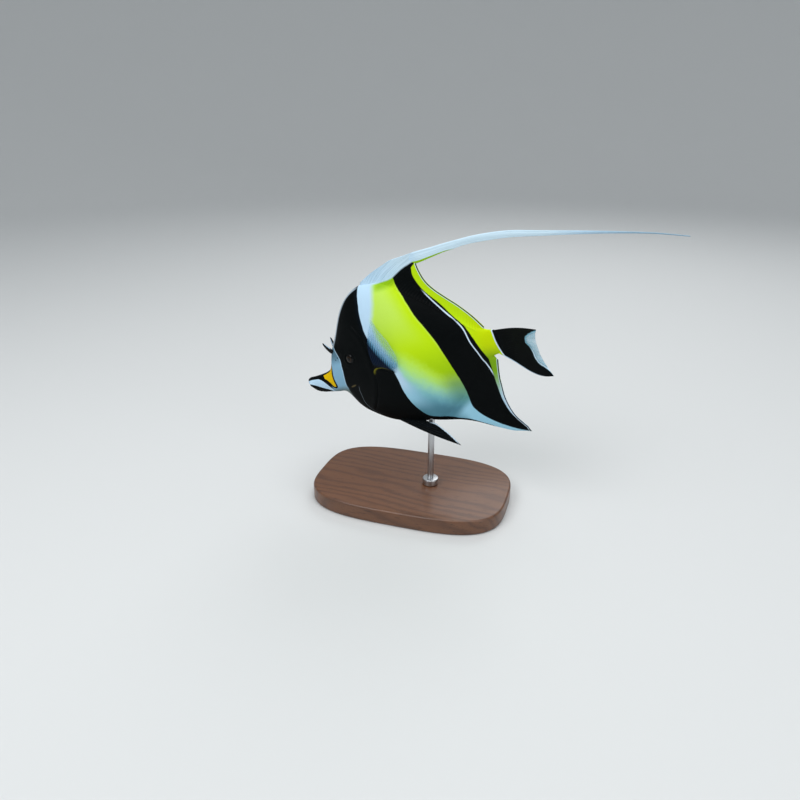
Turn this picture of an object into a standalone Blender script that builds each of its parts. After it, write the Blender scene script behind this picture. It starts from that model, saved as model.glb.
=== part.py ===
"""Moorish idol (Zanclus cornutus), life size, as a still display model on a stand.

The fish is laid out straight first: s runs from the snout back along the body, t up, y to the
fish's right, all in millimetres. pose() then bends it sideways, pitches it head down and sets it
over the stand, in metres, with +Z up and the head towards -X.
"""

import math

import bmesh
import bpy
import numpy as np
from mathutils import Matrix, Vector

# Driving dimensions, in millimetres unless the name says degrees.
standard_length = 155.0
body_half_width = 14.0
crest_half_width = 0.8
node_gap = 0.3
membrane_edge = 0.55
ray_relief = 0.22

# The pose: a swimming bend towards the fish's left, and the head held low.
bend_start = 81.0
bend_degrees = 20.0
tail_fin_bend_length = 18.0
tail_fin_bend_degrees = 18.0
filament_degrees = 6.0
pitch_degrees = 19.0

# The stand, with its base centred on the origin.
base_length = 150.0
base_width = 96.0
base_height = 12.0
base_bevel = 1.6
base_centre_s = 84.0
snout_above_base = 74.0
rod_radius = 2.4
rod_s = 87.0
rod_depth = 9.0
collar_radius = 6.0
collar_height = 5.0

# Side outlines of the fleshy body, as (s, t).
back_line = [
    (0, -0.9), (0.8, 0.4), (2.4, 1.2), (7, 1.3), (13, 1.8), (18.3, 2.8), (22.4, 5.0), (24.4, 8.4),
    (26.4, 13.4), (28.4, 17.9), (31.2, 22.4), (36.3, 30.2), (41.1, 38.6), (45.6, 45.4), (52.5, 52.6),
    (60.9, 57.6), (68, 59.2), (76, 58.7), (85, 56.0), (94, 51), (103, 44.6), (112, 37.4), (121, 29.6),
    (130, 21.8), (138, 15.4), (145, 11), (150, 9), (155, 8.2),
]
keel_line = [
    (0, -3.5), (0.8, -5.4), (2.4, -7.9), (5, -9.8), (10, -11.8), (17, -13), (23, -14), (28.5, -15),
    (31, -17.4), (33.2, -21.2), (36.3, -27.2), (40, -31.8), (45, -36), (51, -40.2), (57.5, -43.9),
    (64, -46.4), (73, -48.8), (84, -50.4), (93, -51.2), (100, -49.8), (108, -45.6), (116, -39.2),
    (124, -31.6), (132, -23.4), (139, -16.4), (145, -11.8), (150, -9.6), (155, -8.4),
]
half_widths = [
    (0, 0.9), (0.8, 2.1), (2.4, 3.2), (5, 3.0), (10, 3.7), (20, 4.8), (27, 6.2), (34, 8.0), (43, 10.0),
    (54, 12.6), (68, 14.0), (82, 13.6), (98, 11.4), (116, 8.0), (132, 5.2), (145, 3.4), (150, 2.7),
    (155, 1.8),
]

# Thin cuts between the fleshy parts, as lines in the side view from above to below.
snout_cut = [(20.0, 12), (23.5, 4), (26.5, -6), (28.0, -14), (29.0, -24)]
gill_cut = [
    (46.0, 70), (51.0, 50), (56.5, 36), (60.2, 22), (62.0, 8), (61.4, -6), (58.0, -18), (51.5, -29),
    (44.0, -37), (36.0, -46),
]
mouth_line = [(-4.0, -2.2), (3.0, -4.4), (6.4, -6.4), (9.0, -10.0), (11.0, -20.0)]
tail_cut_s = 142.0
flesh_end_s = 154.6

# Where each fin's rays start and end: base s, then the margin's (s, t) for that ray.
dorsal_rays = [
    (66.5, 67.8, 60.8), (69, 77.0, 64.8), (72, 86.0, 67.7), (76, 97.5, 70.3), (81, 112.6, 71.1),
    (86, 112.6, 63.2), (92, 113.2, 57.4), (100, 115.2, 50.6), (110, 119.6, 43.6), (120, 126.4, 36.4),
    (130, 134.4, 28.6), (140, 142.6, 19.4), (148, 148.4, 11.4),
]
anal_rays = [
    (95, 101.0, -52.7), (98, 110, -54.2), (102, 121, -57.2), (107, 136, -63.0), (112, 151, -66.9),
    (117, 163, -67.2), (119, 161.4, -64.4), (121, 158.6, -61.2), (126, 153.4, -55.2),
    (131, 150.2, -47), (136, 149, -38), (141, 149.3, -29), (145, 150.4, -20.5), (149, 152, -13),
]
tail_base_half_height = 8.0
tail_margin = [
    (0, 193, 7.4), (0.1, 191.3, 4.0), (0.3, 190.3, -1.6), (0.5, 191.3, -6.6), (0.75, 193.2, -14),
    (0.9, 195.7, -19), (1, 198, -24.4),
]
tail_base_line = [(0, 155.0, 8.0), (0.5, 156.2, 0.0), (1, 155.4, -8.2)]

# The paired fins: the pectoral's margin as (u, s, t), and the pelvics' corners as (s, y, t).
pectoral_margin = [
    (0, 71.6, 36.6), (0.12, 73.6, 33.2), (0.4, 76.2, 24), (0.7, 78.2, 11), (0.9, 80.6, 0), (1, 80.8, -6),
]
pelvic_base = [(58.0, 1.6, -41.6), (80.0, 1.0, -48.0)]
pelvic_tips = [(109.8, 13.5, -68.8), (104.5, 19.0, -61.8)]
pelvic_corners = [(92.0, 6.6, -51.4), (89.0, 8.6, -50.2)]

# The filament that trails from the dorsal fin: (s, top t, bottom t).
filament_outline = [
    (113, 71.1, 63.2), (124, 71.1, 64.4), (138, 71.4, 65.9), (150, 71.3, 66.6), (165, 70.5, 65.6),
    (181, 68.2, 63.6), (200, 63.3, 59.6), (223, 57.1, 54.7), (245, 50.8, 49.4), (265, 44.8, 43.9),
    (283, 38.2, 37.6),
]
filament_cuts = [113.0, 166.0, 224.0, 283.0]

eye_s, eye_t = 44.6, 11.0
eye_radius, eye_depth, eye_sink = 4.4, 3.2, 2.3
orbit_rim = 0.7
nostril_size = (0.75, 0.6, 0.8)
horn_root = (29.3, 4.6, 19.6)
horn_tip = (26.6, 7.4, 26.6)
nostril_places = [(31.6, 11.6), (33.8, 13.0)]

skin_black = (0.012, 0.013, 0.015)
skin_white = (0.72, 0.80, 0.84)
skin_yellow = (0.62, 0.72, 0.02)
skin_orange = (0.80, 0.52, 0.03)


def smooth_curve(points):
    """A monotone cubic through (x, y) points, as a function that also takes arrays."""
    x, y = (np.array(column, float) for column in zip(*points))
    step = np.diff(x)
    slope = np.diff(y) / step
    tangent = np.concatenate([[slope[0]], (slope[1:] + slope[:-1]) / 2, [slope[-1]]])
    for k, chord in enumerate(slope):
        if chord == 0 or tangent[k] * chord < 0 or tangent[k + 1] * chord < 0:
            limit = 0.0
        else:
            limit = 3.0 * abs(chord)
        tangent[k] = np.clip(tangent[k], -limit, limit)
        tangent[k + 1] = np.clip(tangent[k + 1], -limit, limit)

    def value(at):
        at = np.clip(np.asarray(at, float), x[0], x[-1])
        k = np.clip(np.searchsorted(x, at) - 1, 0, len(step) - 1)
        u = (at - x[k]) / step[k]
        start = (1 + 2 * u) * (1 - u) ** 2 * y[k] + u * (1 - u) ** 2 * step[k] * tangent[k]
        end = u * u * (3 - 2 * u) * y[k + 1] + u * u * (u - 1) * step[k] * tangent[k + 1]
        return start + end

    return value


back = smooth_curve(back_line)
keel = smooth_curve(keel_line)
half_width = smooth_curve([(s, w * body_half_width / 14.0) for s, w in half_widths])


def centreline(heading):
    """Positions along a line whose heading, in radians, is a function of the distance s."""
    distance = np.arange(-10.0, 330.0, 0.5)
    angle = heading(distance)
    ahead = np.cumsum(np.cos(angle)) * 0.5
    aside = -np.cumsum(np.sin(angle)) * 0.5
    ahead -= np.interp(0.0, distance, ahead)
    aside -= np.interp(0.0, distance, aside)
    return distance, ahead, aside, angle


def body_heading(distance):
    along = np.clip((distance - bend_start) / (standard_length - bend_start), 0, 1)
    fin = np.clip((distance - standard_length) / tail_fin_bend_length, 0, 1)
    return np.radians(bend_degrees) * along**1.5 + np.radians(tail_fin_bend_degrees) * fin


def filament_heading(distance):
    root = filament_cuts[0]
    start = body_heading(np.array(root))
    after = np.clip((distance - root) / 45.0, 0, 1)
    blended = start + (np.radians(filament_degrees) - start) * after
    return np.where(distance < root, body_heading(distance), blended)


body_path = centreline(body_heading)
filament_path = centreline(filament_heading)


def pose(point, path=body_path):
    """A point (s, y, t) of the straight fish, in millimetres, as a place on the stand, in metres."""
    s, y, t = point
    distance, ahead, aside, angle = path
    turn = np.interp(s, distance, angle)
    along = np.interp(s, distance, ahead) + y * math.sin(turn)
    across = np.interp(s, distance, aside) + y * math.cos(turn)
    pitch = math.radians(pitch_degrees)
    x = along * math.cos(pitch) - t * math.sin(pitch)
    z = along * math.sin(pitch) + t * math.cos(pitch)
    lift = base_height + snout_above_base
    return Vector((x - base_centre_s, across, z + lift)) * 0.001


def material(name, colour, roughness=0.4, metallic=0.0):
    made = bpy.data.materials.new(name)
    made.use_nodes = True
    shader = made.node_tree.nodes["Principled BSDF"]
    shader.inputs["Base Color"].default_value = (*colour, 1)
    shader.inputs["Roughness"].default_value = roughness
    shader.inputs["Metallic"].default_value = metallic
    return made


def mesh_object(name, vertices, faces, finish=None):
    mesh = bpy.data.meshes.new(name)
    mesh.from_pydata([tuple(v) for v in vertices], [], faces)
    mesh.validate()
    tidy = bmesh.new()
    tidy.from_mesh(mesh)
    bmesh.ops.recalc_face_normals(tidy, faces=tidy.faces)
    tidy.to_mesh(mesh)
    tidy.free()
    if finish:
        mesh.materials.append(finish)
    made = bpy.data.objects.new(name, mesh)
    bpy.context.scene.collection.objects.link(made)
    return made


def apply_boolean(target, tool, operation, solver="EXACT"):
    """Joins, cuts or intersects target with tool at once, and removes the tool."""
    modifier = target.modifiers.new(operation, "BOOLEAN")
    modifier.operation = operation
    modifier.solver = solver
    modifier.object = tool
    bpy.context.view_layer.update()
    evaluated = target.evaluated_get(bpy.context.evaluated_depsgraph_get())
    result = bpy.data.meshes.new_from_object(evaluated)
    target.modifiers.remove(modifier)
    target.data = result
    bpy.data.objects.remove(tool)


def keep_largest(target):
    """Keeps the closed surface with the most volume, and drops loose scraps."""
    mesh = bmesh.new()
    mesh.from_mesh(target.data)
    left = set(mesh.faces)
    shells = []
    while left:
        shell = {left.pop()}
        edge = list(shell)
        while edge:
            for side in edge.pop().edges:
                for face in side.link_faces:
                    if face in left:
                        left.remove(face)
                        shell.add(face)
                        edge.append(face)
        shells.append(shell)
    shells.sort(key=lambda shell: sum(face.calc_area() for face in shell))
    scraps = [face for shell in shells[:-1] for face in shell]
    bmesh.ops.delete(mesh, geom=scraps, context="FACES")
    bmesh.ops.dissolve_degenerate(mesh, dist=1e-6, edges=mesh.edges)
    mesh.to_mesh(target.data)
    mesh.free()


def set_pose(target, path=body_path):
    """Moves a straight-laid object's triangles to their place in the pose."""
    mesh = bmesh.new()
    mesh.from_mesh(target.data)
    bmesh.ops.triangulate(mesh, faces=mesh.faces)
    for vertex in mesh.verts:
        vertex.co = pose(vertex.co, path)
    mesh.to_mesh(target.data)
    mesh.free()
    target.data.shade_smooth()
    target.data.set_sharp_from_angle(angle=math.radians(40))


def ring(s, sides, grow=0.0):
    """One cross-section of the body at s: a lens with a narrow flat along back and keel."""
    top = float(back(s)) + grow
    bottom = float(keel(s)) - grow
    middle, reach = (top + bottom) / 2, (top - bottom) / 2
    width = float(half_width(s)) + grow
    crest = min(crest_half_width, width * 0.4)
    sharpness = 1.0 + 0.3 * min(1.0, s / 45.0)
    left, right = [], []
    for k in range(sides):
        angle = math.pi * (k / (sides - 1) - 0.5)
        y = crest + (width - crest) * max(math.cos(angle), 0.0) ** sharpness
        t = middle + reach * math.sin(angle)
        left.append((s, -y, t))
        right.append((s, y, t))
    return left + right[::-1]


def body_stations():
    """Cross-sections close together over the snout and forehead, wider along the trunk."""
    return np.concatenate([
        [0, 0.8, 2.4], np.linspace(5, 22, 6)[:-1], np.linspace(22, 38, 13)[:-1],
        np.linspace(38, 62, 9)[:-1], np.linspace(62, 140, 17)[:-1],
        np.linspace(140, flesh_end_s, 5),
    ])


def body_loft(name, sides=12, grow=0.0):
    """The whole fleshy body as one closed, straight-laid surface."""
    stations = body_stations()
    rings = [ring(s, sides, grow) for s in stations]
    if grow:
        rings.insert(0, [(s - grow, y, t) for s, y, t in rings[0]])
    count = len(rings[0])
    vertices = [point for section in rings for point in section]
    faces = [tuple(range(count)), tuple(range(len(vertices) - count, len(vertices)))]
    for k in range(len(rings) - 1):
        for j in range(count):
            near, far = k * count, (k + 1) * count
            following = (j + 1) % count
            faces.append((near + j, near + following, far + following, far + j))
    return mesh_object(name, vertices, faces)


def side_prism(name, outline, reach=40.0):
    """A cutter: a side-view outline carried straight across the fish."""
    count = len(outline)
    vertices = [(s, -reach, t) for s, t in outline] + [(s, reach, t) for s, t in outline]
    faces = [tuple(range(count)), tuple(range(2 * count - 1, count - 1, -1))]
    faces += [(k, (k + 1) % count, count + (k + 1) % count, count + k) for k in range(count)]
    return mesh_object(name, vertices, faces)


def shifted(line, distance):
    """A cut line moved along s, for the other side of a thin gap."""
    return [(s + distance, t) for s, t in line]


def flank(s, t):
    """The body's half width at a place on its side."""
    top, bottom = float(back(s)), float(keel(s))
    level = np.clip((t - (top + bottom) / 2) / ((top - bottom) / 2), -1, 1)
    sharpness = 1.0 + 0.3 * min(1.0, s / 45.0)
    crest = crest_half_width
    return crest + (float(half_width(s)) - crest) * math.sqrt(1 - level * level) ** sharpness


def outward(s, t, side):
    """The body's outward direction at a place on its side."""
    step = 0.5
    along = (flank(s + step, t) - flank(s - step, t)) / (2 * step)
    up = (flank(s, t + step) - flank(s, t - step)) / (2 * step)
    return Vector((-along, side, -up)).normalized()


def facing(centre, direction):
    """Turns a piece made about the z axis to look along direction, at centre."""
    return Matrix.Translation(centre) @ direction.to_track_quat("Z", "Y").to_matrix().to_4x4()


def ball(name, place, radii, finish=None, segments=16, rings=10):
    mesh = bmesh.new()
    bmesh.ops.create_uvsphere(mesh, u_segments=segments, v_segments=rings, radius=1)
    bmesh.ops.scale(mesh, vec=radii, verts=mesh.verts)
    bmesh.ops.transform(mesh, matrix=place, verts=mesh.verts)
    data = bpy.data.meshes.new(name)
    mesh.to_mesh(data)
    mesh.free()
    if finish:
        data.materials.append(finish)
    made = bpy.data.objects.new(name, data)
    bpy.context.scene.collection.objects.link(made)
    return made


def orbit_ring(name, place, radius, thick, around=20, sides=5):
    """A raised rim round an eye."""
    vertices = []
    for k in range(around):
        turn = 2 * math.pi * k / around
        for j in range(sides):
            roll = 2 * math.pi * j / sides
            out = radius + thick * math.cos(roll)
            rise = thick * math.sin(roll)
            vertices.append(place @ Vector((out * math.cos(turn), out * math.sin(turn), rise)))
    faces = []
    for k in range(around):
        for j in range(sides):
            after, beside = (k + 1) % around, (j + 1) % sides
            faces.append((
                k * sides + j, k * sides + beside, after * sides + beside, after * sides + j,
            ))
    return mesh_object(name, vertices, faces)


def flesh_region(name, outline, sides=12):
    """The part of the body that lies inside a side-view outline."""
    made = body_loft(name, sides)
    apply_boolean(made, side_prism(name + "_cutter", outline), "INTERSECT")
    keep_largest(made)
    return made


def build_snout():
    skin = material("snout_skin", skin_orange, 0.35)
    jaw_skin = material("jaw_skin", skin_black, 0.35)
    upper = [(s, t + node_gap / 2) for s, t in mouth_line]
    upper_outline = [(-4, 12)] + shifted(snout_cut, -node_gap) + upper[::-1]
    snout = flesh_region("snout", upper_outline)
    lower = [(s, t - node_gap / 2) for s, t in mouth_line]
    lower = [(s - node_gap * 0.8 if s > 6.5 else s, t) for s, t in lower]
    jaw = flesh_region("lower_jaw", lower + [(-4, -20)])
    for made, finish in ((snout, skin), (jaw, jaw_skin)):
        set_pose(made)
        made.data.materials.append(finish)


def build_head():
    outline = snout_cut[:1] + [(20, 70)] + gill_cut + [(29, -46)] + snout_cut[:0:-1]
    head = flesh_region("head", outline, sides=14)
    eye_finish = material("eye_finish", (0.02, 0.016, 0.012), 0.08)
    horn_finish = material("horn_finish", (0.05, 0.045, 0.04), 0.4)
    for side, hand in ((-1, "left"), (1, "right")):
        surface = Vector((eye_s, side * flank(eye_s, eye_t), eye_t))
        look = outward(eye_s, eye_t, side)
        rim_place = facing(surface - look * 0.1, look)
        rim = orbit_ring("rim_" + hand, rim_place, eye_radius + 0.6, orbit_rim)
        apply_boolean(head, rim, "UNION")
        place = facing(surface - look * eye_sink, look)
        socket_size = (eye_radius + node_gap, eye_radius + node_gap, eye_depth + node_gap)
        apply_boolean(head, ball("socket_" + hand, place, socket_size), "DIFFERENCE")
        set_pose(ball("eye_" + hand, place, (eye_radius, eye_radius, eye_depth), eye_finish))
        for s, t in nostril_places:
            mouth = facing(Vector((s, side * flank(s, t), t)), outward(s, t, side))
            pit = ball("nostril_" + hand, mouth, nostril_size, None, 8, 6)
            apply_boolean(head, pit, "DIFFERENCE")
        build_horn("horn_" + hand, side, horn_finish)
    keep_largest(head)
    set_pose(head)
    head.data.materials.append(material("head_skin", skin_black, 0.35))


def build_horn(name, side, finish):
    """A short bony spine in front of the eye, its foot cut to the face."""
    root = Vector((horn_root[0], side * horn_root[1], horn_root[2]))
    tip = Vector((horn_tip[0], side * horn_tip[1], horn_tip[2]))
    along = (tip - root).normalized()
    sunk = root - along * 2.6
    across = along.cross(Vector((0, 0, 1))).normalized()
    over = along.cross(across)
    widths = [(0.0, 1.7), (0.3, 1.5), (0.55, 1.15), (0.8, 0.75), (0.95, 0.42)]
    vertices = []
    for share, radius in widths:
        centre = sunk.lerp(tip, share) + Vector((-0.5, 0, 0)) * math.sin(math.pi * share)
        for k in range(8):
            turn = math.pi * k / 4
            vertices.append(centre + (across * math.cos(turn) + over * math.sin(turn)) * radius)
    vertices.append(tip)
    faces = [tuple(range(8))]
    for k in range(len(widths) - 1):
        for j in range(8):
            after = (j + 1) % 8
            faces.append((k * 8 + j, k * 8 + after, k * 8 + 8 + after, k * 8 + 8 + j))
    last = (len(widths) - 1) * 8
    faces += [(last + j, last + (j + 1) % 8, last + 8) for j in range(8)]
    horn = mesh_object(name, vertices, faces, finish)
    apply_boolean(horn, body_loft(name + "_clearance", 14, node_gap), "DIFFERENCE")
    keep_largest(horn)
    set_pose(horn)


def build_torso():
    front = shifted(gill_cut, node_gap)
    outline = front[::-1] + [(tail_cut_s, 75), (tail_cut_s, -75)]
    torso = flesh_region("torso", outline)
    set_pose(torso)
    foot = pose((rod_s, 0, float(keel(rod_s))))
    socket = rod("rod_socket", foot.z + (rod_depth + node_gap) * 0.001, rod_radius + node_gap)
    apply_boolean(torso, socket, "DIFFERENCE")
    keep_largest(torso)
    torso.data.materials.append(material("torso_skin", skin_yellow, 0.35))
    start = tail_cut_s + node_gap
    tail = flesh_region("tail", [(start, 30), (start, -30), (160, -30), (160, 30)])
    set_pose(tail)
    tail.data.materials.append(material("tail_skin", skin_yellow, 0.35))


def fin(name, rays, rows, place, thickness, finish, clear_of_body=False):
    """A thin fin: rays run from its base (v = 0) to its margin (v = 1).

    place(u, v) gives a point of the middle sheet, and thickness(u, v) its width there without
    the rays. Rays are ridges that stand up from both faces on every second column.
    """
    columns = 2 * rays + 1
    u_values = np.linspace(0, 1, columns)
    v_values = np.linspace(0, 1, rows)
    points = np.array([[place(u, v) for v in v_values] for u in u_values])
    along_u = np.gradient(points, axis=0)
    along_v = np.gradient(points, axis=1)
    normals = np.cross(along_v, along_u)
    normals /= np.linalg.norm(normals, axis=2)[..., None]
    if normals[..., 1].mean() < 0:
        normals = -normals
    vertices, near, far = [], {}, {}
    for i, u in enumerate(u_values):
        for j, v in enumerate(v_values):
            ridge = ray_relief * (1.0 - 0.55 * v) * (i % 2)
            half = thickness(u, v) / 2 + ridge
            near[i, j] = len(vertices)
            vertices.append(points[i, j] - normals[i, j] * half)
            far[i, j] = len(vertices)
            vertices.append(points[i, j] + normals[i, j] * half)
    faces = []
    for i in range(columns - 1):
        for j in range(rows - 1):
            for face, order in ((near, 1), (far, -1)):
                a, b = face[i, j], face[i + 1, j]
                c, d = face[i + 1, j + 1], face[i, j + 1]
                faces += [(a, b, c)[::order], (a, c, d)[::order]]
    rim = [(i, 0) for i in range(columns)] + [(columns - 1, j) for j in range(1, rows)]
    rim += [(i, rows - 1) for i in range(columns - 2, -1, -1)]
    rim += [(0, j) for j in range(rows - 2, 0, -1)]
    for here, after in zip(rim, rim[1:] + rim[:1]):
        faces += [(near[here], far[here], far[after]), (near[here], far[after], near[after])]
    made = mesh_object(name, vertices, faces, finish)
    if clear_of_body:
        apply_boolean(made, body_loft(name + "_clearance", 12, node_gap), "DIFFERENCE")
        keep_largest(made)
    set_pose(made)
    return made


def seat_of(line, side):
    """A fin's base along back or keel, on the body's own facets, with the gap above them."""
    stations = body_stations()
    level = line(stations)

    def at(s):
        return float(np.interp(s, stations, level)) + side * node_gap

    return at


def median_fin(name, rays_table, line, side, rays, rows, front_bow, finish):
    """A dorsal or anal fin, from its seat on the body to its margin.

    Its rays sweep back in a bow, which is front_bow of the full one on the foremost ray.
    """
    bases = [row[0] for row in rays_table]
    margin_s = smooth_curve([(row[0], row[1]) for row in rays_table])
    margin_t = smooth_curve([(row[0], row[2]) for row in rays_table])
    seat = seat_of(line, side)

    def place(u, v):
        base = bases[0] + (bases[-1] - bases[0]) * u
        bow = min(1.0, front_bow + 1.3 * u)
        back_share = v - 0.45 * (v - v * v) * bow
        rise_share = v + 0.4 * (1 - (1 - v) ** 1.3 - v) * bow
        s = base + (float(margin_s(base)) - base) * back_share
        return (s, 0.0, seat(base) + (float(margin_t(base)) - seat(base)) * rise_share)

    def thickness(u, v):
        front = max(0.0, 1 - u * 6)
        return membrane_edge + 0.7 * (1 - v) ** 1.4 + 0.5 * front * (1 - v * 0.4)

    return fin(name, rays, rows, place, thickness, finish)


def build_median_fins():
    white = material("dorsal_membrane", skin_white, 0.4)
    dark = material("anal_membrane", skin_black, 0.4)
    median_fin("dorsal_fin", dorsal_rays, back, 1, 44, 5, 0.7, white)
    median_fin("anal_fin", anal_rays, keel, -1, 34, 5, 0.0, dark)


def build_tail_fin():
    margin_s = smooth_curve([(u, s) for u, s, t in tail_margin])
    margin_t = smooth_curve([(u, t) for u, s, t in tail_margin])
    base_s = smooth_curve([(u, s) for u, s, t in tail_base_line])

    def place(u, v):
        bottom_share = u * 2 - 1
        t0 = -tail_base_half_height * bottom_share
        s0 = max(float(base_s(u)), flesh_end_s + node_gap)
        curl = math.sin(math.pi * v) * (2.2 if bottom_share > 0 else 0.3) * bottom_share
        s = s0 + (float(margin_s(u)) - s0) * v
        return (s, 0.0, t0 + (float(margin_t(u)) - t0) * v - curl)

    def thickness(u, v):
        edge = abs(u * 2 - 1) ** 4 * 0.5
        return membrane_edge + (2.2 - membrane_edge) * (1 - v) ** 3 + edge * (1 - v)

    fin("caudal_fin", 16, 7, place, thickness, material("caudal_membrane", skin_black, 0.4))


def build_filament():
    white = material("filament_skin", skin_white, 0.4)
    top = smooth_curve([(s, t) for s, t, b in filament_outline])
    bottom = smooth_curve([(s, b) for s, t, b in filament_outline])
    for k, (start, end) in enumerate(zip(filament_cuts, filament_cuts[1:])):
        sections = 9
        vertices = []
        for s in np.linspace(start + node_gap / 2, end - node_gap / 2, sections):
            high, low = float(top(s)), float(bottom(s))
            middle, reach = (high + low) / 2, max((high - low) / 2, 0.25)
            width = 0.25 + 0.45 * min(1.0, reach / 2.0)
            for turn in np.linspace(0, 2 * math.pi, 9)[:-1]:
                vertices.append((s, width * math.cos(turn), middle + reach * math.sin(turn)))
        faces = [tuple(range(8)), tuple(range((sections - 1) * 8, sections * 8))]
        for ring_index in range(sections - 1):
            for j in range(8):
                near, far = ring_index * 8, ring_index * 8 + 8
                after = (j + 1) % 8
                faces.append((near + j, near + after, far + after, far + j))
        made = mesh_object(f"filament_{k + 1}", vertices, faces, white)
        set_pose(made, filament_path)


def paired_fin(name, side, base, margin, rays, rows, thick, bulge, finish):
    """A pectoral or pelvic fin: base and margin give (s, y, t) for u from 0 to 1.

    bulge(v) is how far the sheet stands off the straight line from base to margin.
    """

    def place(u, v):
        root = np.array(base(u))
        tip = np.array(margin(u))
        point = root + (tip - root) * v
        point[1] = (point[1] + bulge(v)) * side
        return tuple(point)

    def thickness(u, v):
        return membrane_edge + (thick - membrane_edge) * (1 - v) ** 3 + 0.5 * max(0.0, 1 - u * 7)

    fin(name, rays, rows, place, thickness, finish, clear_of_body=True)


def build_pectorals():
    clear = material("pectoral_membrane", (0.35, 0.45, 0.52), 0.3)
    margin_s = smooth_curve([(u, s) for u, s, t in pectoral_margin])
    margin_t = smooth_curve([(u, t) for u, s, t in pectoral_margin])

    def base(u):
        s, t = 63.6 + 8.4 * u, 0.8 - 4.4 * u
        return (s, flank(s, t) - 1.2, t)

    def bulge(v):
        return 2.6 * (1 - (1 - v) ** 6) * (1 - 0.5 * v)

    def margin(u):
        s, t = float(margin_s(u)), float(margin_t(u))
        return (s, flank(s, t) + 3.0 + 1.4 * u, t)

    for side, hand in ((-1, "left"), (1, "right")):
        paired_fin("pectoral_fin_" + hand, side, base, margin, 16, 7, 2.4, bulge, clear)


def build_pelvics():
    dark = material("pelvic_membrane", skin_black, 0.4)
    for (side, hand), tip, corner in zip(((-1, "left"), (1, "right")), pelvic_tips, pelvic_corners):

        def base(u):
            return Vector(pelvic_base[0]).lerp(Vector(pelvic_base[1]), u)

        def margin(u):
            return Vector(tip).lerp(Vector(corner), u) + Vector((0, 0, 1.2)) * math.sin(math.pi * u)

        def bulge(v):
            return 0.8 * math.sin(math.pi * v)

        paired_fin("pelvic_fin_" + hand, side, base, margin, 6, 8, 1.9, bulge, dark)


def rod(name, top, radius, finish=None):
    """An upright round rod from just above the base to the height top, in metres."""
    place = pose((rod_s, 0, float(keel(rod_s))))
    bottom = (base_height + node_gap) * 0.001
    bpy.ops.mesh.primitive_cylinder_add(
        vertices=24, radius=radius * 0.001, depth=top - bottom,
        location=(place.x, place.y, (top + bottom) / 2),
    )
    made = bpy.context.object
    made.name = name
    if finish:
        made.data.materials.append(finish)
    made.data.shade_smooth()
    made.data.set_sharp_from_angle(angle=math.radians(40))
    return made


def build_stand():
    wood = material("stand_wood", (0.13, 0.06, 0.03), 0.35)
    steel = material("stand_steel", (0.6, 0.6, 0.6), 0.25, 1.0)
    foot = pose((rod_s, 0, float(keel(rod_s))))
    rod("stand_rod", foot.z + rod_depth * 0.001, rod_radius, steel)
    count = 48
    outline = []
    for k in range(count):
        turn = 2 * math.pi * k / count
        x = math.copysign(abs(math.cos(turn)) ** 0.6, math.cos(turn)) * base_length / 2
        y = math.copysign(abs(math.sin(turn)) ** 0.6, math.sin(turn)) * base_width / 2
        outline.append((x, y))
    levels = [
        (0.0, base_bevel * 0.4), (base_bevel * 0.4, 0.0), (base_height - base_bevel, 0.0),
        (base_height - base_bevel * 0.35, base_bevel * 0.4), (base_height, base_bevel),
    ]
    vertices = []
    for height, inset in levels:
        for x, y in outline:
            length = math.hypot(x, y)
            share = (length - inset) / length
            vertices.append((x * share * 0.001, y * share * 0.001, height * 0.001))
    faces = [tuple(range(count)), tuple(range(count * 4, count * 5))]
    for k in range(4):
        for j in range(count):
            after = (j + 1) % count
            near, far = k * count, (k + 1) * count
            faces.append((near + j, near + after, far + after, far + j))
    base = mesh_object("stand_base", vertices, faces, wood)
    bpy.ops.mesh.primitive_cylinder_add(
        vertices=32, radius=collar_radius * 0.001, depth=collar_height * 0.001,
        location=(foot.x, foot.y, (base_height + node_gap + collar_height / 2) * 0.001),
    )
    collar = bpy.context.object
    collar.name = "stand_collar"
    collar.data.materials.append(steel)
    hole = rod("collar_hole", (base_height + collar_height + 3) * 0.001, rod_radius + node_gap)
    hole.location.z -= 0.001
    apply_boolean(collar, hole, "DIFFERENCE")
    base.data.shade_smooth()
    base.data.set_sharp_from_angle(angle=math.radians(35))


for item in list(bpy.data.objects):
    bpy.data.objects.remove(item)
build_snout()
build_head()
build_torso()
build_median_fins()
build_tail_fin()
build_filament()
build_pectorals()
build_pelvics()
build_stand()
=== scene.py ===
# Moorish idol, life size, on its display stand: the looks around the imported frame.
# Shapes are worked out on a straight fish in millimetres (s back from the snout, y to its right,
# t up), then bent and pitched to the stand by toStand.
import math

import bpy
import numpy as np
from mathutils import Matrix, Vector


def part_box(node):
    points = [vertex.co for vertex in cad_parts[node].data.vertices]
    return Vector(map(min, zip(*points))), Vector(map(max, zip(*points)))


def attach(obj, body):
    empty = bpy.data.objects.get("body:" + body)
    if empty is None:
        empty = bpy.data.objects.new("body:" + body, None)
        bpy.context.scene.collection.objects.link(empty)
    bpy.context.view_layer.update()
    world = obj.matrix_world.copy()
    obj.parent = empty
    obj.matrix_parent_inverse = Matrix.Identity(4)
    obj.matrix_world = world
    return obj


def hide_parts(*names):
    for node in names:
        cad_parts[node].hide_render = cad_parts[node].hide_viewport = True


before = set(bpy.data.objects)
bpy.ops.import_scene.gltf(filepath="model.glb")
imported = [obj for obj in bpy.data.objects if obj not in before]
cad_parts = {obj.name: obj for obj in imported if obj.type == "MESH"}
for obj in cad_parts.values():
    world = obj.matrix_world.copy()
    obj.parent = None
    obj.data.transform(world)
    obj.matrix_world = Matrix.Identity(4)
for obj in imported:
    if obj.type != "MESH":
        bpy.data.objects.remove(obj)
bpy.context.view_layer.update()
print("frame loaded with", len(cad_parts), "nodes")

# Body outline and pose

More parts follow.
